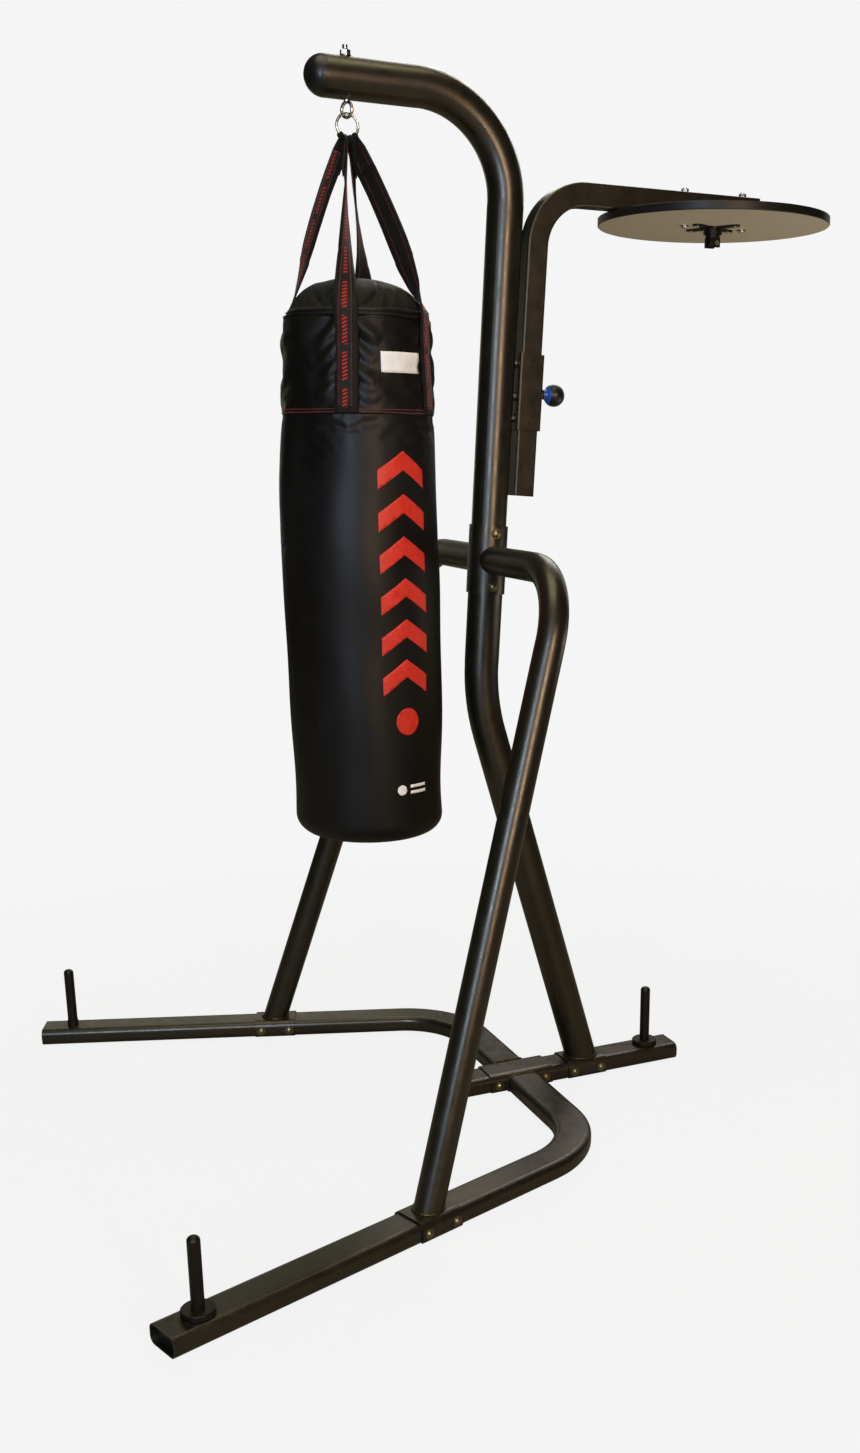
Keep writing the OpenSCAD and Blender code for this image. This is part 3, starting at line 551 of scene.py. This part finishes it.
def add_welds():
    """Weld beads round the feet of struts and mast and where the base tubes meet the centre."""
    lift = Vector((0, 0, FOOT_BEAD * 0.35))
    for node in ("right_strut", "left_strut", "lower_mast"):
        path = resample([p + lift for p in foot_outline(node)], WELD_STEP)
        keep(tube("weld_" + node, path, FOOT_BEAD, looks["weld"], ripple=WELD_RIPPLE), "stand", "frame_steel")
    low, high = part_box("base_right_tube")
    half = (high.z - low.z) / 2
    wide = 4 * half
    mid_y = high.y - wide / 2
    across, up = wide / 2 - TUBE_CORNER, half - TUBE_CORNER
    corners = ((across, up, 0), (-across, up, 90), (-across, -up, 180), (across, -up, 270))
    for side, name in ((1, "right"), (-1, "left")):
        path = []
        for y, z, start in corners:
            for step in range(5):
                t = math.radians(start + 22.5 * step)
                height = max(half + z + TUBE_CORNER * math.sin(t), BASE_BEAD + BEAD_CLEAR_OF_FLOOR)
                path.append(Vector((side * low.x, mid_y + y + TUBE_CORNER * math.cos(t), height)))
        line = resample(path, WELD_STEP)
        bead = tube(f"weld_base_{name}", line, BASE_BEAD, looks["weld"], ripple=WELD_RIPPLE)
        keep(bead, "stand", "frame_steel")


# ---------------------------------------------------------------- the bag
BAG_BODY = "bag"
skin_low, skin_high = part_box("bag_skin")
BAG_AXIS = Vector(((skin_low.x + skin_high.x) / 2, (skin_low.y + skin_high.y) / 2, 0))
BAG_R = (skin_high.x - skin_low.x) / 2
LOW_Z, RIM_Z = skin_low.z, skin_high.z
SEAM_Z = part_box("bag_top_band")[0].z + 6 * MM
DOME_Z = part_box("bag_top_cover")[1].z
STRAP_W, STRAP_THICK = 44 * MM, 2.2 * MM
TAPE_W, TAPE_THICK, TAPE_SHIFT = 25 * MM, 0.9 * MM, -1.5 * MM
# share of a strap's free length that its folded-back end covers
FOLD_SHARE = 0.2
STITCH_STEP = 4.2 * MM
# how far down a strap, from the ring to the rim, its twist is given
TWIST_AT = (0.0, 0.3, 0.45, 0.6, 0.72, 0.85, 0.94, 1.0)
# node, direction from the bag's axis, place round the ring's lower arc, twist on the way down (degrees)
STRAPS = (
    ("strap_near_right", -26.5, -9, (114, 96, 85, 73, 62, 44, 20, 4)),
    ("strap_rear_right", 48.0, 27, (75, 74, 76, 78, 72, 52, 24, 2)),
    ("strap_rear_left", 153.5, 9, (110, 100, 92, 80, 62, 40, 16, 2)),
    ("strap_near_left", 228.0, -29, (66, 60, 59, 56, 48, 34, 20, 8)),
)
STRAP_TURNS = [math.radians(turn) for _, turn, _, _ in STRAPS]
# share of the bag's radius at shares of its height: fullest in the middle, drawn in below the rim
BAG_GIRTH = ((0.0, 0.962), (0.18, 0.966), (0.36, 0.972), (0.52, 0.988), (0.66, 0.975),
             (0.80, 0.940), (0.90, 0.905), (1.0, 0.858))
# the centre line's drift along +Y, metres at heights
DRIFT = ((LOW_Z, 6 * MM), (1.2, 0.0), (RIM_Z, 7 * MM))
BOTTOM_R = 42 * MM  # rounding of the lower edge
BOTTOM_SAG, BOTTOM_BOWL = 5 * MM, 8 * MM
BOTTOM_ROWS, CORNER_ROWS, ROW_STEP = 9, 12, 5.2 * MM
COLUMNS = 168
ROUNDING = 22 * MM


def axis_at(z):
    """The bag's centre line at height z."""
    return BAG_AXIS + Vector((0, float(np.interp(z, *zip(*DRIFT))), z))


def girth(z):
    """Radius of the bag at height z."""
    share = (z - LOW_Z) / (RIM_Z - LOW_Z)
    heights, widths = zip(*BAG_GIRTH)
    return BAG_R * float(np.interp(share, heights, widths))


def smooth_girth(z):
    """The same, with its corners rounded off."""
    return sum(girth(min(RIM_Z, max(LOW_Z, z + k * ROUNDING))) for k in (-2, -1, 0, 1, 2)) / 5


def bag_profile():
    """(radius, height) from the middle of the underside to the rim."""
    side_r = smooth_girth(LOW_Z + BOTTOM_R)
    flat = side_r - BOTTOM_R
    middle_z, side_z = LOW_Z - BOTTOM_SAG, LOW_Z + BOTTOM_R
    corner_z = middle_z + BOTTOM_BOWL
    rows = []
    for k in range(1, BOTTOM_ROWS + 1):
        share = k / BOTTOM_ROWS
        rows.append((flat * share, middle_z + BOTTOM_BOWL * share**2))
    for k in range(1, CORNER_ROWS + 1):
        t = math.radians(90 * k / CORNER_ROWS)
        rows.append((flat + BOTTOM_R * math.sin(t), corner_z + (side_z - corner_z) * (1 - math.cos(t))))
    count = round((RIM_Z - side_z) / ROW_STEP)
    for k in range(1, count + 1):
        z = side_z + (RIM_Z - side_z) * k / count
        rows.append((smooth_girth(z), z))
    rows.append((smooth_girth(RIM_Z) - 5 * MM, RIM_Z + 1 * MM))
    return rows


PUCKERS = 5
PUCKER_HEAD = 4 * MM
SWELL = 0.55 * MM


def arc_length(turns, turn, radius):
    """Signed distance round the bag from turn, the short way."""
    return ((turns - turn + math.pi) % (2 * math.pi) - math.pi) * radius


def make_creases():
    """Puckers out and down from the straps' sewn edges: (angle, height, heading, length, width, depth)."""
    made = []
    for turn in STRAP_TURNS:
        for side in (-1, 1):
            z = RIM_Z - rng.uniform(14, 26) * MM
            # the patch lies flat beside this edge
            calm = 0.5 if turn == STRAP_TURNS[1] and side < 0 else 1
            for k in range(PUCKERS):
                heading = math.radians(-90 + side * rng.uniform(36, 58))
                length = rng.uniform(48, 78) * MM * (1.1 - 0.13 * k) * calm
                depth = rng.uniform(6.4, 9.0) * MM * (1.1 - 0.16 * k) * calm
                start = turn + side * (STRAP_W / 2 - 3 * MM) / BAG_R
                made.append((start, z, heading, length, rng.uniform(7, 10) * MM, depth))
                z -= rng.uniform(30, 44) * MM
    return made


CREASES = make_creases()


def crease_height(turns, heights):
    """Relief of all puckers at arrays of angles and heights."""
    total = np.zeros_like(turns)
    for turn, z, heading, length, width, depth in CREASES:
        s = arc_length(turns, turn, BAG_R)
        t = heights - z
        along = s * math.cos(heading) + t * math.sin(heading)
        across = -s * math.sin(heading) + t * math.cos(heading)
        reach = np.clip(along / length, 0, 1)
        inside = (along > -PUCKER_HEAD) & (along < length)
        window = np.where(inside, np.sin(np.pi * np.clip(reach * 0.85 + 0.15, 0, 1)) ** 0.8, 0)
        spread = width * (1 + 0.8 * reach)
        ridge = np.exp(-((across / spread) ** 2)) - 0.75 * np.exp(-(((across + 1.5 * spread) / spread) ** 2))
        total += depth * window * ridge
    return total


def swell(turns, heights):
    """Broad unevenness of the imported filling."""
    relief = np.zeros_like(turns)
    for _ in range(14):
        wave = rng.choice((1, 2, 3, 4, 5))
        pitch = rng.uniform(5, 26)
        relief += np.sin(wave * turns + pitch * heights + rng.uniform(0, 6.3)) * SWELL
    return relief


def settle(obj, pinned, pressure, frames, cap, grow):
    """Cloth simulation of the piece, applied; no point ends further than cap from where it started."""
    start = np.array([v.co for v in obj.data.vertices])
    group = obj.vertex_groups.new(name="pinned")
    for index, weight in pinned.items():
        group.add([index], weight, "REPLACE")
    cloth = obj.modifiers.new("cloth", "CLOTH")
    s = cloth.settings
    s.quality = 6
    s.mass = 0.25
    s.tension_stiffness = s.compression_stiffness = 22
    s.shear_stiffness = 9
    s.bending_stiffness = 0.8
    s.use_pressure = True
    s.uniform_pressure_force = pressure
    s.vertex_group_mass = "pinned"
    s.pin_stiffness = 2
    s.shrink_min = -grow
    s.effector_weights.gravity = 0
    cloth.collision_settings.use_collision = False
    cloth.point_cache.frame_start, cloth.point_cache.frame_end = 1, frames
    scene = bpy.context.scene
    for step in range(1, frames + 1):
        scene.frame_set(step)
    ready = obj.evaluated_get(bpy.context.evaluated_depsgraph_get())
    moved = np.array([v.co for v in ready.data.vertices])
    obj.modifiers.remove(cloth)
    scene.frame_set(1)
    shift = moved - start
    size = np.linalg.norm(shift, axis=1)
    shift *= np.minimum(1, cap / np.maximum(size, 1e-9))[:, None]
    obj.data.vertices.foreach_set("co", (start + shift).ravel())
    obj.data.update()


def subdivide(obj):
    modifier = obj.modifiers.new("smooth", "SUBSURF")
    modifier.levels = modifier.render_levels = 1


def lathe(name, rows, look, relief, centre_first=True):
    """Turns (radius, height) rows round the bag's axis, relief(turns, heights) added along the radius."""
    turns = np.array([2 * math.pi * k / COLUMNS for k in range(COLUMNS)])
    points, faces = [], []
    for radius, z in rows:
        extra = relief(turns, np.full(COLUMNS, z))
        for turn, more in zip(turns, extra):
            r = radius + more
            points.append(axis_at(z) + Vector((r * math.cos(turn), r * math.sin(turn), 0)))
    for i in range(len(rows) - 1):
        a, b = i * COLUMNS, (i + 1) * COLUMNS
        faces += [(a + j, a + (j + 1) % COLUMNS, b + (j + 1) % COLUMNS, b + j) for j in range(COLUMNS)]
    end = 0 if centre_first else (len(rows) - 1) * COLUMNS
    points.append(axis_at(rows[0 if centre_first else -1][1]))
    hub = len(points) - 1
    fan = [(hub, end + (j + 1) % COLUMNS, end + j) for j in range(COLUMNS)]
    faces += fan if centre_first else [f[::-1] for f in fan]
    return mesh_object(name, points, faces, look)


def strap_nearness(turn):
    """1 under a strap, fading to 0 beyond its edges."""
    off = min(abs(arc_length(turn, t, BAG_R)) for t in STRAP_TURNS)
    return max(0.0, min(1.0, (STRAP_W / 2 + 6 * MM - off) / (10 * MM)))


def make_bag_body():
    """Skin and filling as one closed form: lathed, puckered, swollen unevenly and settled as cloth."""
    rows = bag_profile()

    def relief(turns, z):
        above = np.clip((z - SEAM_Z + 30 * MM) / (40 * MM), 0, 1)
        return crease_height(turns, z) * above

    body = lathe("bag_body", rows, looks["black_vinyl"], relief)
    co = np.array([v.co for v in body.data.vertices])
    flat = co[:, :2] - np.array(BAG_AXIS[:2])
    radii = np.linalg.norm(flat, axis=1)
    turns = np.arctan2(flat[:, 1], flat[:, 0])
    rise = swell(turns, co[:, 2]) * np.clip(radii / BAG_R, 0, 1) ** 2
    co[:, :2] += flat / np.maximum(radii, 1e-6)[:, None] * rise[:, None]
    body.data.vertices.foreach_set("co", co.ravel())
    pinned = {}
    for i, v in enumerate(body.data.vertices):
        if v.co.z > RIM_Z - 4 * MM or radii[i] < 0.3 * BAG_R:
            pinned[i] = 1.0
        elif v.co.z > SEAM_Z:
            near = strap_nearness(turns[i])
            if near > 0:
                pinned[i] = near
    settle(body, pinned, pressure=2.5, frames=16, cap=5 * MM, grow=0.012)
    subdivide(body)
    keep(body, BAG_BODY, "black_vinyl", "bag_skin", "bag_filling")
    return body


class Surface:
    """Finds points on the finished bag by angle and height."""

    def __init__(self, obj):
        self.tree = BVHTree.FromObject(obj, bpy.context.evaluated_depsgraph_get())

    def at(self, turn, z, lift):
        out = Vector((math.cos(turn), math.sin(turn), 0))
        start = axis_at(z) + out * (2 * BAG_R)
        hit, normal, _, _ = self.tree.ray_cast(start, -out)
        if hit is None:
            return axis_at(z) + out * (smooth_girth(z) + lift)
        normal = -normal if normal.dot(out) < 0 else normal
        return hit + normal * lift


def make_band(skin):
    """Second layer of vinyl between the seam and the rim, its lower edge folded under."""
    low, high = SEAM_Z - 5 * MM, RIM_Z - 5 * MM
    steps = 34
    heights = [low] + [low + (high - low) * k / steps for k in range(steps + 1)] + [high]
    tucked, folded, outside = -0.5 * MM, 1.0 * MM, 1.4 * MM
    lifts = [tucked, folded] + [outside] * steps + [tucked]
    turns = [2 * math.pi * k / (2 * COLUMNS) for k in range(2 * COLUMNS)]
    outer = [[skin.at(t, z, lift) for t in turns] for z, lift in zip(heights, lifts)]
    inner = [[skin.at(t, z, -1.2 * MM) for t in turns] for z in reversed(heights[1:-1])]
    band = loft("bag_band", outer + inner, looks["black_vinyl"], closed=True)
    return keep(band, BAG_BODY, "black_vinyl", "bag_top_band")


# one stitch: share of its length, rise and width in thread radii
STITCH_RINGS = ((0, -0.2, 0.5), (0.2, 0.55, 1), (0.5, 0.8, 1.05), (0.8, 0.55, 1), (1, -0.2, 0.5))
STITCH_SHARE = 0.68  # of its step; the rest is the gap
STITCH_SIDES = 6


def stitches(name, spots, look, gauge=0.55 * MM):
    """A row of thread stitches on the bag along spots, a list of (point, outward normal)."""
    points, faces = [], []
    for (a, out), (b, _) in zip(spots, spots[1:]):
        gap = (b - a) * (1 - STITCH_SHARE) / 2
        a, b = a + gap, b - gap
        ahead = (b - a).normalized()
        side = ahead.cross(out).normalized()
        base = len(points)
        for share, rise, width in STITCH_RINGS:
            centre, r = a.lerp(b, share) + out * (gauge * rise), gauge * width
            for k in range(STITCH_SIDES):
                t = 2 * math.pi * k / STITCH_SIDES
                points.append(centre + side * (r * math.cos(t)) + out * (r * math.sin(t)))
        starts = [base + STITCH_SIDES * k for k in range(len(STITCH_RINGS))]
        for p, q in zip(starts, starts[1:]):
            faces += [(p + k, p + (k + 1) % STITCH_SIDES, q + (k + 1) % STITCH_SIDES, q + k)
                      for k in range(STITCH_SIDES)]
        ends = [tuple(range(start, start + STITCH_SIDES)) for start in (starts[0], starts[-1])]
        faces += [ends[0][::-1], ends[1]]
    return keep(mesh_object(name, points, faces, look), BAG_BODY, "webbing")


def make_seam(skin):
    """Double row of red stitching through the band's lower edge."""
    count = 210
    for k, z in enumerate((SEAM_Z - 1.5 * MM, SEAM_Z + 3.5 * MM)):
        spots = []
        for i in range(count + 1):
            turn = 2 * math.pi * i / count
            out = Vector((math.cos(turn), math.sin(turn), 0))
            spots.append((skin.at(turn, z, 1.6 * MM), out))
        stitches(f"seam_stitches_{k + 1}", spots, looks["thread"])


def make_rim():
    """Piped edge, zip tape and the zip's coil round the top."""
    radius = smooth_girth(RIM_Z)
    steps = 240

    def ring_path(r, z, wave=0.0):
        turns = [2 * math.pi * k / steps for k in range(steps)]
        lift = [wave * (math.sin(9 * t) + 0.6 * math.sin(23 * t + 1)) for t in turns]
        return [axis_at(RIM_Z) + Vector(((r + w) * math.cos(t), (r + w) * math.sin(t), z - RIM_Z + 0.6 * w))
                for t, w in zip(turns, lift)]

    edge = ring_path(radius + 0.4 * MM, RIM_Z - 2 * MM, 0.5 * MM)
    keep(tube("rim_piping", edge, 2.9 * MM, looks["black_vinyl"]), BAG_BODY, "black_vinyl", "bag_rim_piping")
    tape_low = ring_path(radius - 1.5 * MM, RIM_Z - 1 * MM)
    tape_high = ring_path(radius - 6.5 * MM, RIM_Z + 11 * MM, 0.5 * MM)
    tape_high_in = ring_path(radius - 8 * MM, RIM_Z + 10.6 * MM, 0.5 * MM)
    tape_low_in = ring_path(radius - 3 * MM, RIM_Z - 1.4 * MM)
    rings = [list(r) for r in zip(tape_low, tape_high, tape_high_in, tape_low_in)]
    keep(loft("zip_tape", rings, looks["webbing"], closed=True), BAG_BODY, "webbing")
    coil = ring_path(radius - 3.4 * MM, RIM_Z + 5.5 * MM, 0.3 * MM)
    teeth = tube("zip_coil", coil, 1.5 * MM, looks["black_plastic"], ripple=0.25, sides=8)
    keep(teeth, BAG_BODY, "black_plastic")


COVER_ROWS = 44
GATHERS = 44


def make_cover():
    """Gathered cloth cover over the filling, pulled down inside the zip."""
    edge = smooth_girth(RIM_Z) - 7 * MM
    foot_z = RIM_Z + 6 * MM
    rows = []
    for k in range(COVER_ROWS):
        t = math.radians(89 * k / (COVER_ROWS - 1))
        rows.append((edge * math.cos(t) ** 0.8, foot_z + (DOME_Z - foot_z - 1.5 * MM) * math.sin(t)))
    folds = []
    for _ in range(GATHERS):
        turn, width = rng.uniform(0, 2 * math.pi), rng.uniform(3.5, 9) * MM
        depth, lean = rng.uniform(1.8, 5) * MM, rng.uniform(-1.2, 1.2)
        folds.append((turn, width, depth, lean))

    def relief(turns, z):
        rise = np.clip((z - foot_z) / (DOME_Z - foot_z), 0, 1)
        total = np.zeros_like(turns)
        for turn, width, depth, lean in folds:
            s = arc_length(turns, turn + lean * rise * 0.5, edge)
            total -= depth * np.exp(-((s / width) ** 2)) * np.sin(np.pi * np.clip(rise * 0.9 + 0.1, 0, 1))
        return total + 0.8 * MM * np.sin(7 * turns + 3)

    cover = lathe("bag_cover", rows, looks["cover_cloth"], relief, centre_first=False)
    pinned = {i: 1.0 for i, v in enumerate(cover.data.vertices) if v.co.z < foot_z + 2 * MM}
    settle(cover, pinned, pressure=0.6, frames=12, cap=4 * MM, grow=0.02)
    subdivide(cover)
    keep(cover, BAG_BODY, "cover_cloth", "bag_top_cover")


# ---------------------------------------------------------------- straps
def ribbon_ring(centre, side, out, width, thick, curve):
    """Section of a flat strap: side is across, out is its face, curve bends it back at the edges."""
    ring = []
    for face in (1, -1):
        for k in range(9):
            u = (k / 4 - 1) * face * -1
            sag = curve * u * u
            edge = 0.35 if abs(u) > 0.99 else 1.0
            ring.append(centre + side * (u * width / 2) + out * (face * thick / 2 * edge - sag))
    return ring


def ring_arc(place, beyond=0.0):
    """A point on the lower arc of the ring's wire, place radians from its lowest point; beyond is outward."""
    low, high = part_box("hook_ring")
    wire = (high.x - low.x) / 2
    out = Vector((0, math.sin(place), -math.cos(place)))
    return (low + high) / 2 + out * ((high.y - low.y) / 2 - wire + beyond), out, wire


def strap_path(k, skin):
    """Strap k from the ring to the seam: rows of (point, across, face, width, curl, share).

    The share runs from 0 at the ring to 1 at the rim and 2 at the seam.
    """
    _, turn, place, twist = STRAPS[k]
    turn = math.radians(turn)
    out = Vector((math.cos(turn), math.sin(turn), 0))
    top = ring_arc(math.radians(place), 1.5 * MM)[0]
    free, down = 64, 40  # steps above and below the rim
    sewn_lift = 4.2 * MM
    rim_r = (skin.at(turn, RIM_Z - 8 * MM, sewn_lift) - axis_at(RIM_Z)).xy.length
    over = axis_at(RIM_Z + 9 * MM) + out * (rim_r - 1 * MM)
    low = SEAM_Z - 3 * MM
    rows = []
    for i in range(free + 1):
        t = i / free
        point = top.lerp(over, t) + out * (4 * MM * math.sin(math.pi * t) ** 2 * (1 if t < 0.7 else 0.6))
        rows.append((point, float(np.interp(t, TWIST_AT, twist)), t))
    for i in range(1, down + 1):
        t = i / down
        z = RIM_Z + 4 * MM + (low - RIM_Z - 4 * MM) * t
        point = skin.at(turn, min(z, RIM_Z - 6 * MM), sewn_lift)
        point.z = z
        rows.append((point, twist[-1] * max(0, 1 - 5 * t), 1 + t))
    made = []
    for i, (point, twisted, t) in enumerate(rows):
        ahead = (rows[min(i + 1, len(rows) - 1)][0] - rows[max(i - 1, 0)][0]).normalized()
        azimuth = turn + math.radians(90 + twisted)
        level = Vector((math.cos(azimuth), math.sin(azimuth), 0))
        across = (level - ahead * level.dot(ahead)).normalized()
        width = STRAP_W * float(np.interp(t, (0, 0.08, 0.2), (0.62, 0.92, 1.0)))
        cupped = 5 * MM * max(0.0, 1 - t / 0.3) ** 1.3
        curl = cupped if t < 1 else (STRAP_W / 2) ** 2 / (2 * BAG_R) * min(1, 4 * (t - 1))
        made.append((point, across, ahead.cross(across), width, curl, t))
    return made


def ribbon(name, rows, look, width, thick, shift=0.0, lift=0.0, curve=1.0):
    """A flat woven strip along a strap's rows, shift across and lift off its middle, for its full width."""
    rings, uvs, walked = [], [], 0.0
    for i, (point, across, face, wide, curl, _) in enumerate(rows):
        walked += (point - rows[i - 1][0]).length if i else 0
        share = wide / STRAP_W
        centre = point + across * (shift * share) + face * lift
        rings.append(ribbon_ring(centre, across, face, width * share, thick, curl * curve))
        uvs += [((j % 9 / 4 - 1) * (1 if j > 8 else -1) * width / 2, walked) for j in range(18)]
    return loft(name, rings, look, uvs=uvs)


def seam_line(rows, shift, lift):
    """Where a line of stitches runs along a strap: (point, outward face)."""
    sign = 1 if lift > 0 else -1
    spots = []
    for point, across, face, wide, curl, _ in rows:
        rise = lift - curl * (2 * shift / STRAP_W) ** 2
        spots.append((point + across * (shift * wide / STRAP_W) + face * rise, face * sign))
    return spots


def make_strap(k, skin):
    """Webbing with a woven tape on its outer face, its top end folded back and sewn down inside."""
    rows = strap_path(k, skin)
    number = k + 1
    web = ribbon(f"strap_webbing_{number}", rows, looks["webbing"], STRAP_W, STRAP_THICK)
    keep(web, BAG_BODY, "webbing", STRAPS[k][0])
    taped = rows[5:-2]  # the tape starts below the ring and ends above the seam
    tape = ribbon(
        f"strap_tape_{number}", taped, looks["tape"], TAPE_W, TAPE_THICK, TAPE_SHIFT, 1.5 * MM, 0.32
    )
    keep(tape, BAG_BODY, "webbing")
    folded = [row for row in rows if row[-1] < FOLD_SHARE]
    back = ribbon(
        f"strap_fold_{number}", folded, looks["webbing"], STRAP_W - 1 * MM, STRAP_THICK, 0.0, -2.3 * MM
    )
    keep(back, BAG_BODY, "webbing")
    inner = [row for row in rows if FOLD_SHARE < row[-1] < 0.97]
    for side, name in ((-1, "left"), (1, "right")):
        edge = TAPE_SHIFT + side * (TAPE_W / 2 - 1 * MM)
        lines = (
            ("tape", seam_line(taped, edge, 2.0 * MM), 0.5 * MM),
            ("inner", seam_line(inner, edge, -1.2 * MM), 0.34 * MM),
            ("fold", seam_line(folded[3:], edge, -3.5 * MM), 0.34 * MM),
        )
        for kind, line, gauge in lines:
            spots = evenly(line, STITCH_STEP)
            stitches(f"stitches_{kind}_{name}_{number}", spots, looks["thread"], gauge)
    point, across, face, wide, _, _ = folded[-3]
    bar = [(point + across * (wide * (s / 10 - 0.5) * 0.9) - face * 3.5 * MM, -face) for s in range(11)]
    stitches(f"stitches_bar_{number}", bar, looks["black_thread"], 0.45 * MM)


def evenly(spots, step):
    """Spots at even steps along an open line of (point, face)."""
    made = [spots[0]]
    need = step
    for (a, out_a), (b, out_b) in zip(spots, spots[1:]):
        length = (b - a).length
        at = need
        while at <= length:
            made.append((a.lerp(b, at / length), out_a.lerp(out_b, at / length).normalized()))
            at += step
        need = at - length
    return made


def make_sleeve():
    """The four straps' folded tops, bunched side by side round the ring's lower wire."""
    steps, around, reach = 64, 20, math.radians(54)
    rings, uvs = [], []
    for i in range(steps + 1):
        share = i / steps
        place = reach * (2 * share - 1)
        spot, out, wire = ring_arc(place)
        lobe = abs(math.sin(4 * math.pi * share)) ** 0.5
        r = wire + 1.2 * MM + 2.4 * MM * lobe
        ring = []
        for j in range(around):
            t = 2 * math.pi * j / around
            sideways = Vector((1, 0, 0)) * (1.15 * r * math.cos(t))
            ring.append(spot + sideways + out * (r * math.sin(t) + 0.6 * MM * lobe))
        rings.append(ring)
        uvs += [(place * 20 * MM, 2 * math.pi * r * j / around) for j in range(around)]
    sleeve = loft("strap_sleeve", rings, looks["webbing"], uvs=uvs)
    keep(sleeve, BAG_BODY, "webbing", "bag_loop")


# ---------------------------------------------------------------- prints
FILM_CUT, FILM_THICK = 6 * MM, 0.3 * MM


def decal(name, shapes, look, skin, turn, z, lift=0.5 * MM):
    """Flat shapes, each a list of (across, up) metres, laid on the bag round (turn, z) as one thin film."""
    bm = bmesh.new()
    for shape in shapes:
        bm.faces.new([bm.verts.new((x, y, 0)) for x, y in shape])
    for axis, normal in ((0, (1, 0, 0)), (1, (0, 1, 0))):
        values = [v.co[axis] for v in bm.verts]
        for k in range(math.ceil(min(values) / FILM_CUT), math.floor(max(values) / FILM_CUT) + 1):
            cut = [0, 0, 0]
            cut[axis] = k * FILM_CUT
            parts = bm.verts[:] + bm.edges[:] + bm.faces[:]
            bmesh.ops.bisect_plane(bm, geom=parts, dist=1e-7, plane_co=cut, plane_no=normal)
    bmesh.ops.remove_doubles(bm, verts=bm.verts, dist=1e-6)
    for v in bm.verts:
        x, y = v.co.x, v.co.y
        v.co = skin.at(turn + x / smooth_girth(z + y), z + y, lift)
    mesh = bpy.data.meshes.new(name)
    bm.normal_update()
    bm.to_mesh(mesh)
    bm.free()
    mesh.shade_smooth()
    mesh.materials.append(look)
    film = bpy.data.objects.new(name, mesh)
    bpy.context.scene.collection.objects.link(film)
    solid = film.modifiers.new("film", "SOLIDIFY")
    solid.thickness = FILM_THICK
    solid.offset = -1
    return keep(film, BAG_BODY, "black_vinyl")


def chevron(low, width, rise, thick):
    """Upward chevron centred on zero: low is the height of its outer feet."""
    half = width / 2
    return [
        [(-half, low), (0, low + rise), (0, low + rise + thick), (-half, low + thick)],
        [(0, low + rise), (half, low), (half, low + thick), (0, low + rise + thick)],
    ]


def disc(x, y, radius):
    turns = (2 * math.pi * k / 40 for k in range(40))
    return [(x + radius * math.cos(t), y + radius * math.sin(t)) for t in turns]


def plate(left, bottom, right, top):
    """A rectangle, its edges given in millimetres."""
    return [(x * MM, y * MM) for x, y in ((left, bottom), (right, bottom), (right, top), (left, top))]


CHEVRONS, CHEVRON_PITCH, CHEVRON_FOOT = 6, 76 * MM, -210 * MM
CHEVRON_W, CHEVRON_RISE, CHEVRON_THICK = 100 * MM, 34 * MM, 34 * MM
PRINT_TURN, PATCH_TURN, MARK_TURN = math.radians(14), math.radians(16.5), math.radians(16)
CHEVRONS_Z, DISC_Z, PATCH_Z, MARK_Z = 1.13, 0.868, 1.521, 0.735
PATCH_LIFT = 1.7 * MM


def make_prints(skin, band):
    """A generic column of red chevrons with a disc below, a blank white patch and a small white mark."""
    shapes = []
    for k in range(CHEVRONS):
        shapes += chevron(CHEVRON_FOOT + k * CHEVRON_PITCH, CHEVRON_W, CHEVRON_RISE, CHEVRON_THICK)
    red, white = looks["ink"], looks["ink_white"]
    decal("print_chevrons", shapes, red, skin, PRINT_TURN, CHEVRONS_Z)
    decal("print_disc", [disc(0, 0, 26 * MM)], red, skin, PRINT_TURN, DISC_Z)
    decal("print_patch", [plate(-42, -18, 42, 18)], white, band, PATCH_TURN, PATCH_Z, PATCH_LIFT)
    bars = [plate(-6, -9, 32, -3), plate(-6, 3, 32, 9)]
    decal("print_mark", [disc(-24 * MM, 0, 10 * MM), *bars], white, skin, MARK_TURN, MARK_Z)


# ---------------------------------------------------------------- assembly
make_camera()
bpy.context.scene.view_settings.view_transform = "Standard"
make_world()
make_floor()
for light in LIGHTS:
    area_light(*light)

finish_cad_nodes()
add_welds()
bag = make_bag_body()
surface = Surface(bag)
band = make_band(surface)
make_seam(surface)
make_rim()
make_cover()
for strap_index in range(4):
    make_strap(strap_index, surface)
make_sleeve()
make_prints(surface, Surface(band))
